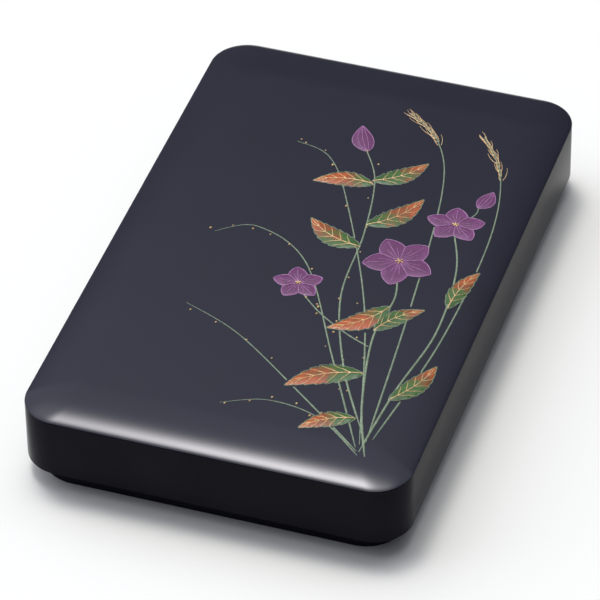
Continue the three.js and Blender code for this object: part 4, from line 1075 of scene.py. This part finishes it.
dropper, space = [
    make_object(name, *loft(rings_along(section, pan_box, DROPPER_CORNER)), copper)
    for name, section in (("water_dropper_vessel", vessel), ("hollow", hollow))]
bores = [space]
for centre, radius in ((pan_box.centre, HOLE_RADIUS), (spout_box.centre, SPOUT_RADIUS - SPOUT_BITE)):
    bores.append(drill(centre, radius, top_box.high[2] - BORE_BELOW, top_box.high[2] + BORE_ABOVE, BORE_SIDES, copper))
cut_out(dropper, bores)
soften(dropper, DROPPER_BEVEL, 2, radians(60))
dress(dropper, "dropper", ["dropper_pan", "dropper_top"])

low, mid, high = spout_box.low[2], top_box.high[2], spout_box.high[2]
tube = [(HOLE_RADIUS, low), (SPOUT_RADIUS, low), (SPOUT_RADIUS, mid - 0.2), (SPOUT_RADIUS + 0.5, mid),
        (SPOUT_RADIUS + 0.15, mid + 0.35), (SPOUT_RADIUS - 0.1, mid + 0.9), (SPOUT_RADIUS, high - 0.35),
        (SPOUT_RADIUS - 0.25, high), (HOLE_RADIUS + 0.15, high), (HOLE_RADIUS, high - 0.2)]
tube = turned(tube, (*spout_box.centre, 0), "Z", BORE_SIDES)
dress(make_object("water_dropper_spout", *tube, copper, radians(50)), "dropper", ["dropper_spout"])

# %% [markdown]
# ## The tray
#
# The brushes and the paperweight lie in a loose tray beside the board. Its two outer corners follow the body's round
# corners, and each end has a half-round notch for a fingertip. The tray is one loft, like the body. The rim's rings
# have many points along the ends, and those over the notch are simply let down by the notch's depth.

# %% Tray
TRAY_WALL, TRAY_RIM_ROUND, TRAY_COVE, TRAY_INNER_CORNER, TRAY_SIDES = 2.4, 0.8, 1.2, 2.5, (84, 40)
NOTCH_RADIUS, NOTCH_DEPTH, LEAST_CORNER, COPY_BEVEL = 9.0, 6.0, 1.6, 0.2
TRAY_NODES = [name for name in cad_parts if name.startswith("tray_") and name != "tray_divider"]
tray_box, tray_floor = box_of(*TRAY_NODES), box_of("tray_floor").high[2]
tray_corners = (TRAY_INNER_CORNER, INSERT_CORNER, INSERT_CORNER, TRAY_INNER_CORNER)


def notch_depth(x, y):
    away = abs(x - tray_box.centre[0])
    if away >= NOTCH_RADIUS or abs(y) < tray_box.length / 2 - TRAY_WALL - 1:
        return 0.0
    return max(sqrt(NOTCH_RADIUS**2 - away**2) - (NOTCH_RADIUS - NOTCH_DEPTH), 0.0)


def tray_ring(inset, z, notched=False):
    """A ring of the tray. The inner wall's corners stay round, however far in it lies."""
    corners = tuple(max(c, inset + LEAST_CORNER) for c in tray_corners) if inset > TRAY_WALL / 2 else tray_corners
    flat = ring(tray_box.width, tray_box.length, corners, z, inset, tray_box.centre, TRAY_SIDES)
    return [(x, y, h - notch_depth(x, y)) for x, y, h in flat] if notched else flat


tray_top = tray_box.high[2]
tray_rim = quarter(0, tray_top, TRAY_RIM_ROUND) + quarter(TRAY_WALL, tray_top, TRAY_RIM_ROUND, -1)[::-1]
tray_rings = [tray_ring(SLAB_CHAMFER, tray_box.low[2]), tray_ring(0, tray_box.low[2] + SLAB_CHAMFER)]
tray_rings += [tray_ring(inset, z, True) for inset, z in tray_rim]
tray_rings += [tray_ring(inset, z) for inset, z in quarter(TRAY_WALL, tray_floor, TRAY_COVE, 1, -1)]
tray = make_object("brush_tray_lacquered", *loft(tray_rings), INNER_LACQUER)
dress(tray, "tray", TRAY_NODES)

for node in ("tray_divider", "brush_rest_front", "brush_rest_rear"):
    made = weld(link_object(node + "_lacquered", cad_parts[node].data.copy()), 0.002, radians(1))
    made.data.materials.clear()
    made.data.materials.append(INNER_LACQUER)
    dress(soften(made, COPY_BEVEL, 2), "tray", [node])

# %% [markdown]
# ## The brushes
#
# Each brush is a bamboo handle with a horn knob at the tail, a horn ferrule, a tuft of hair, and a brass cap. All of
# them are turned forms. The bamboo has growth rings: a narrow groove with a swollen lip on each side. Its fibres run
# along the handle, so its noise is stretched along Y. The tuft is stiff with starch: a turned core, and over it hairs
# that run to the point, each with its own length, drift and thickness. They are lines along a path again, so the tree
# that painted the stems draws them. They are thicker than real hair, so that the eye can still part them.

# %% Brush finishes
bamboo, parts = grained(
    "smoked_bamboo", [((1500.0, 45.0, 1500.0), 3.0), (110.0, 4.0)],
    [(0.3, "#a97f49"), (0.5, "#c29a5f"), (0.7, "#d3b078")], gloss=(0, 0.34, 0.46), relief=(0, 0.25, 0.05), IOR=1.5)
tree = parts["tree"]
smoke = add(tree, "ShaderNodeMapRange", inputs={0: parts["noises"][1], 1: 0.45, 2: 0.75, 3: 1.0, 4: 0.55})
mixed = add(tree, "ShaderNodeMix", data_type="RGBA", blend_type="MULTIPLY",
            inputs={0: 0.8, 6: parts["Base Color"], 7: smoke.outputs[0]})
wire(tree, parts["shader"], {"Base Color": mixed.outputs[2]})

horn = grained("polished_dark_horn", [((420.0, 70.0, 420.0), 4.0)],
               [(0.35, "#120d0b"), (0.6, "#2a1d15"), (0.8, "#5a4230")], gloss=(0, 0.2, 0.32), IOR=1.54)[0]
hair = grained("starched_weasel_hair", [((2600.0, 60.0, 2600.0), 3.0)],
               [(0.3, "#8a6a42"), (0.5, "#c2a172"), (0.7, "#e0c79c")], relief=(0, 0.6, 0.12), IOR=1.5,
               Roughness=0.62)[0]
brass = grained("satin_brass", [((3000.0, 90.0, 3000.0), 2.0), (130.0, 5.0)],
                [(0.3, "#8f7038"), (0.5, "#b4914f"), (0.72, "#caa765")], shade=1, gloss=(0, 0.27, 0.42),
                relief=(0, 0.2, 0.02), Metallic=1.0)[0]
print("finishes:", bamboo.name, horn.name, hair.name, brass.name)

# %% Brushes
RIDGE, CAP_END_WALL, HAIR_ROOT_SHARE = 0.25, 2.0, 0.72
HAIRS_PER_MM, HAIR_STEPS, HAIR_SIDES, HAIR_SEED, CORE_SHARE, CORE_STEPS = 26, 10, 5, 3, 0.93, 30
BELLY_AT, TUFT_TURN = 0.2, 1.9
GROWTH_RING = [
    # distance from the groove, height in parts of a ridge
    (-2.2, 0.0), (-1.1, 0.5), (-0.45, 1.0), (0.0, -0.4), (0.45, 0.8), (1.3, 0.3), (2.2, 0.0),
]
KNOB = [
    # radius in parts of the handle's, distance in parts of the knob's length
    (0.45, 0.0), (0.8, 0.18), (0.72, 0.5), (1.0, 0.82),
]
hair_random = random.Random(HAIR_SEED)


def tuft_radius(share, root, belly):
    """The tuft's radius at a share of the way from the ferrule's mouth to its tip."""
    narrowing = cos(max(share - BELLY_AT, 0) * TUFT_TURN) ** 0.9
    return (root + (belly - root) * smooth_step(share / BELLY_AT)) * narrowing


def hair_path(axis, angle, root, belly, mouth, tip):
    """The middle line of one hair, with its radius."""
    size, end = hair_random.uniform(0.13, 0.21), hair_random.uniform(0.84, 0.995)
    layer, drift = hair_random.uniform(0.95, 1.0), hair_random.uniform(-0.16, 0.16)
    path = []
    for step in range(HAIR_STEPS):
        share = end * step / (HAIR_STEPS - 1)
        thick = size * (1 - 0.8 * share ** 1.5)
        reach = max(tuft_radius(share, root, belly) * layer - thick, 0.02)
        turn = angle + drift * sin(pi * share)
        y = mouth - 1.2 if step == 0 else mouth + share * (tip - mouth)
        path.append((axis[0] + reach * sin(turn), y, axis[2] + reach * cos(turn), thick))
    return path


def brush(name, cap_body, growth_rings, cap_wall):
    """Makes the pieces of one brush from the boxes of its CAD nodes."""
    handle = box_of(f"{name}_handle")
    (_, tail, under), (_, front, top) = handle.low, handle.high
    axis, radius = (handle.centre[0], 0.0, (under + top) / 2), (top - under) / 2 - RIDGE

    def turn_piece(label, node, profile, finish, body=name, smooth=SMOOTH_ANGLE):
        made = make_object(f"{name}_{label}", *turned(profile, axis), finish, smooth)
        dress(made, body, [f"{name}_{node}"])

    profile = [(0, tail), (radius - 0.3, tail), (radius, tail + 0.3)]
    for share in growth_rings:
        profile += [(radius + rise * RIDGE, tail + share * (front - tail) + away) for away, rise in GROWTH_RING]
    profile += [(radius, front - 0.3), (radius - 0.3, front), (0, front)]
    turn_piece("bamboo", "handle", profile, bamboo)

    start, end = box_of(f"{name}_end_knob").low[1], tail - 0.3
    shape = eased([(radius * wide, start + (end - start) * far) for wide, far in KNOB] + [(radius, end - 0.2)])
    profile = [(0, start), (radius * 0.3, start), *shape, (radius - 0.25, end), (0, end)]
    turn_piece("horn_knob", "end_knob", profile, horn)

    _, mouth, top = box_of(f"{name}_ferrule").high
    outer = top - axis[2]
    root, base, length = outer * HAIR_ROOT_SHARE, front + 0.3, mouth - front
    profile = [(0, base), (radius - 0.2, base), (radius, base + 0.2), (outer, front + length * 0.2),
               (outer, front + length * 0.45), (outer - 0.25, front + length * 0.48),
               (outer - 0.25, front + length * 0.52), (outer, front + length * 0.55), (outer, mouth - outer * 0.12),
               (outer * 0.95, mouth - 0.1), (outer * 0.91, mouth), (root + 0.35, mouth), (root + 0.3, mouth - 2.0),
               (0, mouth - 2.0)]
    turn_piece("horn_ferrule", "ferrule", profile, horn)

    _, tip, top = box_of(f"{name}_hair").high
    belly = top - axis[2]
    profile = [(0, mouth - 1.9), (root * CORE_SHARE, mouth - 1.9)]
    profile += [(tuft_radius(step / CORE_STEPS, root, belly) * CORE_SHARE, mouth + step / CORE_STEPS * (tip - mouth))
                for step in range(CORE_STEPS)]
    turn_piece("hair_core", "hair", [*profile, (0, tip)], hair, smooth=radians(60))
    count = round(HAIRS_PER_MM * belly)
    paths = [hair_path(axis, 2 * pi * number / count, root, belly, mouth, tip) for number in range(count)]
    dress(draw_lines(f"{name}_hairs", paths, hair, HAIR_SIDES), name)

    cap = box_of(f"{name}_cap")
    start, end, outer = cap.low[1], cap.high[1], cap.high[2] - axis[2]
    inner, end_round = outer - cap_wall, cap_wall * 1.6
    profile = [(0, end - CAP_END_WALL), (inner, end - CAP_END_WALL), (inner, start + 0.15), (inner + 0.15, start),
               (outer - 0.15, start), (outer, start + 0.15), (outer, start + 1.6), (outer - 0.15, start + 1.8),
               (outer - 0.15, start + 2.1), (outer, start + 2.3)]
    profile += [(outer - inset, y) for inset, y in quarter(0, end, end_round, steps=8)]
    profile += [(outer - cap_wall * 3.0, end), (0, end)]
    turn_piece("brass_cap", "cap", profile, brass, cap_body)


brush("large_brush", "large_cap", (0.34, 0.66), 1.0)
brush("small_brush", "small_cap", (0.28, 0.74), 0.8)

# %% [markdown]
# ## The paperweight
#
# A cast brass bar, filed flat, with chamfered edges, an engraved line round its top and a turned knob to hold it by.
# The line is a real groove in the loft: four rings close together.

# %% Paperweight
WEIGHT_CORNER, WEIGHT_BEVEL, WEIGHT_HEIGHT, WEIGHT_FOOT = 2.4, 1.8, 9.0, 0.6
GROOVE_INSET, GROOVE_WIDTH, GROOVE_DEPTH, GROOVE_SLOPE, KNOB_RADIUS, KNOB_NECK = 2.7, 0.5, 0.2, 0.1, 4.6, 2.2
weight_box, knob_box = box_of("paperweight_bar"), box_of("paperweight_knob")
section = [
    # inset, depth below the top
    (WEIGHT_FOOT, WEIGHT_HEIGHT), (0.0, WEIGHT_HEIGHT - WEIGHT_FOOT), (0.0, WEIGHT_BEVEL + 0.15),
    (0.06, WEIGHT_BEVEL), (WEIGHT_BEVEL - 0.15, 0.08), (WEIGHT_BEVEL + 0.1, 0.0), (GROOVE_INSET, 0.0),
    (GROOVE_INSET + GROOVE_SLOPE, GROOVE_DEPTH), (GROOVE_INSET + GROOVE_WIDTH - GROOVE_SLOPE, GROOVE_DEPTH),
    (GROOVE_INSET + GROOVE_WIDTH, 0.0)]
section = [(inset, weight_box.low[2] + WEIGHT_HEIGHT - depth) for inset, depth in section]
bar_rings = rings_along(section, weight_box, WEIGHT_CORNER)
bar = make_object("paperweight_brass_bar", *loft(bar_rings), brass, radians(20))
dress(bar, "paperweight", ["paperweight_bar"])

foot, knob_height = weight_box.high[2] + 0.3, knob_box.high[2] - weight_box.high[2]
shape = eased([(KNOB_RADIUS * 0.75, foot), (KNOB_RADIUS * 0.6, foot + 0.7), (KNOB_NECK, foot + knob_height * 0.26),
               (KNOB_RADIUS * 0.85, foot + knob_height * 0.45), (KNOB_RADIUS, foot + knob_height * 0.63),
               (KNOB_RADIUS * 0.8, foot + knob_height * 0.84), (KNOB_RADIUS * 0.35, knob_box.high[2] - 0.05)])
profile = [(0, foot), (KNOB_RADIUS * 0.7, foot), *shape, (0, knob_box.high[2])]
knob = make_object("paperweight_brass_knob", *turned(profile, (*knob_box.centre, 0), "Z"), brass)
dress(knob, "paperweight", ["paperweight_knob"])

# %% [markdown]
# ## Floor, light and camera
#
# The box stands on a plain pale floor. The light is a studio sky: a cool soft panel overhead that ends 40 degrees up
# behind the box, a row of three soft lamps high and behind on the left, and a darker room at the front right. It is
# written as a rule on direction instead of as lamps, because a mirror polish shows every lamp's outline: the top
# mirrors the panel's far edge, and the front roll of the lid mirrors the lamps as one long soft highlight. Its level
# is set so that a flat surface shows about the colour it is painted. The floor's warm tint takes the panel's blue out.
# Rays from the camera see plain white, and so do shiny and clear surfaces where they look along the horizon.

# %% Floor
FLOOR_HALF, FLOOR_LEVEL, FLOOR_TINT = 3.0, -5e-5, "#fafaef"
floor_material, tree, shader = start_material("plain_pale_floor", Roughness=1.0, Specular_IOR_Level=0.0)
shader.inputs["Base Color"].default_value = colour(FLOOR_TINT)
floor_mesh = bpy.data.meshes.new("floor")
square = [(x * FLOOR_HALF, y * FLOOR_HALF, FLOOR_LEVEL) for x, y in ((-1, -1), (1, -1), (1, 1), (-1, 1))]
floor_mesh.from_pydata(square, [], [(0, 1, 2, 3)])
floor_mesh.materials.append(floor_material)
floor = link_object("floor", floor_mesh)
floor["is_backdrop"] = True
print("floor:", 2 * FLOOR_HALF, "m wide")

# %% Light
LAMPS = [
    # direction, strength, tightness
    ((-0.21, 0.223, 0.952), 29.5, 155.0), ((0.0, 0.28, 0.96), 5.2, 90.0), ((-0.45, 0.33, 0.82), 1.5, 65.0),
]
PANEL_DIRECTION = Vector((-0.08, -0.94, 0.333)).normalized()
PANEL_LEVEL, PANEL_EDGE, PANEL_EDGE_WIDTH = 0.76, -0.5, 0.127
ROOM_LEVEL, ROOM_RISE, LEAST_LEVEL = 0.06, (-0.263, 0.0, 0.68), 0.01
DARK_SIDE, DARK_FROM, DARK_TO, DARK_LEVEL = (0.6, -0.8, 0.0), -0.25, 0.05, 0.12
PANEL_TINT, LAMP_TINT = (0.93, 0.97, 1.16), (1.0, 0.97, 0.99)
HORIZON = 0.015

world = bpy.data.worlds.new("studio")
bpy.context.scene.world = world
world.use_nodes = True
tree = world.node_tree
tree.nodes.clear()
looking = add(tree, "ShaderNodeTexCoord").outputs["Generated"]


def looks_along(direction):
    """How far the ray looks along a direction."""
    return add(tree, "ShaderNodeVectorMath", operation="DOT_PRODUCT",
               inputs={0: looking, 1: direction}).outputs["Value"]


bright = 0.0
for direction, strength, tightness in LAMPS:
    away = add(tree, "ShaderNodeMath", operation="MULTIPLY_ADD",
               inputs={0: looks_along(Vector(direction).normalized()), 1: tightness, 2: log(strength) - tightness})
    lamp = add(tree, "ShaderNodeMath", operation="EXPONENT", inputs={0: away.outputs[0]})
    bright = add(tree, "ShaderNodeMath", operation="ADD", inputs={0: bright, 1: lamp.outputs[0]}).outputs[0]
panel = add(tree, "ShaderNodeMapRange", interpolation_type="SMOOTHSTEP",
            inputs={0: looks_along(PANEL_DIRECTION), 1: PANEL_EDGE, 2: PANEL_EDGE + PANEL_EDGE_WIDTH,
                    3: ROOM_LEVEL, 4: ROOM_LEVEL + PANEL_LEVEL})
room = add(tree, "ShaderNodeMath", operation="ADD", inputs={0: looks_along(ROOM_RISE), 1: panel.outputs[0]})
dark = add(tree, "ShaderNodeMapRange", interpolation_type="SMOOTHSTEP",
           inputs={0: looks_along(DARK_SIDE), 1: DARK_FROM, 2: DARK_TO, 3: 1.0, 4: DARK_LEVEL})
soft = add(tree, "ShaderNodeMath", operation="MULTIPLY", inputs={0: room.outputs[0], 1: dark.outputs[0]})
lit = add(tree, "ShaderNodeMath", operation="MAXIMUM", inputs={0: soft.outputs[0], 1: LEAST_LEVEL})
cool = add(tree, "ShaderNodeVectorMath", operation="SCALE", inputs={0: PANEL_TINT, "Scale": lit.outputs[0]})
warm = add(tree, "ShaderNodeVectorMath", operation="SCALE", inputs={0: LAMP_TINT, "Scale": bright})
sky = add(tree, "ShaderNodeVectorMath", operation="ADD", inputs={0: cool.outputs[0], 1: warm.outputs[0]})
low_down = add(tree, "ShaderNodeMapRange", interpolation_type="SMOOTHSTEP",
               inputs={0: looks_along((0, 0, 1)), 1: 0.0, 2: HORIZON, 3: 1.0, 4: 0.0})
path = add(tree, "ShaderNodeLightPath")
mirrored = add(tree, "ShaderNodeMath", operation="MAXIMUM",
               inputs={0: path.outputs["Is Glossy Ray"], 1: path.outputs["Is Transmission Ray"]})
horizon = add(tree, "ShaderNodeMath", operation="MULTIPLY", inputs={0: mirrored.outputs[0], 1: low_down.outputs[0]})
white = add(tree, "ShaderNodeMath", operation="MAXIMUM",
            inputs={0: path.outputs["Is Camera Ray"], 1: horizon.outputs[0]})
shown = add(tree, "ShaderNodeMix", data_type="RGBA",
            inputs={0: white.outputs[0], 6: sky.outputs[0], 7: (1.0, 1.0, 1.0, 1.0)})
background = add(tree, "ShaderNodeBackground", inputs={0: shown.outputs[2], 1: 1.0})
add(tree, "ShaderNodeOutputWorld", inputs={0: background.outputs[0]})
print("sky:", len(LAMPS), "soft lamps and a panel of level", PANEL_LEVEL)

# %% [markdown]
# The camera stands where the photograph was taken: 1.9 m away, 41 degrees above the table and 19 degrees round to
# the right of the box's front. A long lens keeps the sides nearly parallel. The small roll is the photograph's own.

# %% Camera
DISTANCE, AZIMUTH, ELEVATION, ROLL = 1913.0, radians(18.814), radians(40.574), radians(-0.891)
FOCAL_LENGTH, SENSOR = 279.53, 36.0
AIM_HEIGHT, AIM_RIGHT, AIM_UP = 15.0, -3.31, -3.166
back = Vector((sin(AZIMUTH) * cos(ELEVATION), -cos(AZIMUTH) * cos(ELEVATION), sin(ELEVATION)))
right = (-back).cross(Vector((0, 0, 1))).normalized()
up = right.cross(-back)
right, up = right * cos(ROLL) + up * sin(ROLL), up * cos(ROLL) - right * sin(ROLL)
target = Vector((0, 0, AIM_HEIGHT)) + right * AIM_RIGHT + up * AIM_UP
lens = bpy.data.cameras.new("camera")
lens.lens, lens.sensor_width, lens.sensor_fit = FOCAL_LENGTH, SENSOR, "HORIZONTAL"
lens.clip_end = 50.0
camera = bpy.data.objects.new("camera", lens)
bpy.context.scene.collection.objects.link(camera)
camera.matrix_world = Matrix((
    (right.x, up.x, back.x, 0), (right.y, up.y, back.y, 0), (right.z, up.z, back.z, 0), (0, 0, 0, 1)))
camera.location = (target + back * DISTANCE) * MM
bpy.context.scene.camera = camera
bpy.context.scene.view_settings.view_transform = "Standard"
print("camera:", round(DISTANCE / 1000, 2), "m away, lens", FOCAL_LENGTH, "mm")

# %% [markdown]
# ## Finish
#
# The CAD's box and the dressed box are both printed, so that they can be compared.

# %% Sizes and finish
dressed_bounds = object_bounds()
sizes = {"cad": [list(corner) for corner in cad_bounds], "visual": [list(corner) for corner in dressed_bounds]}
print("dressed box in mm:", [[round(v * 1000, 1) for v in corner] for corner in dressed_bounds])
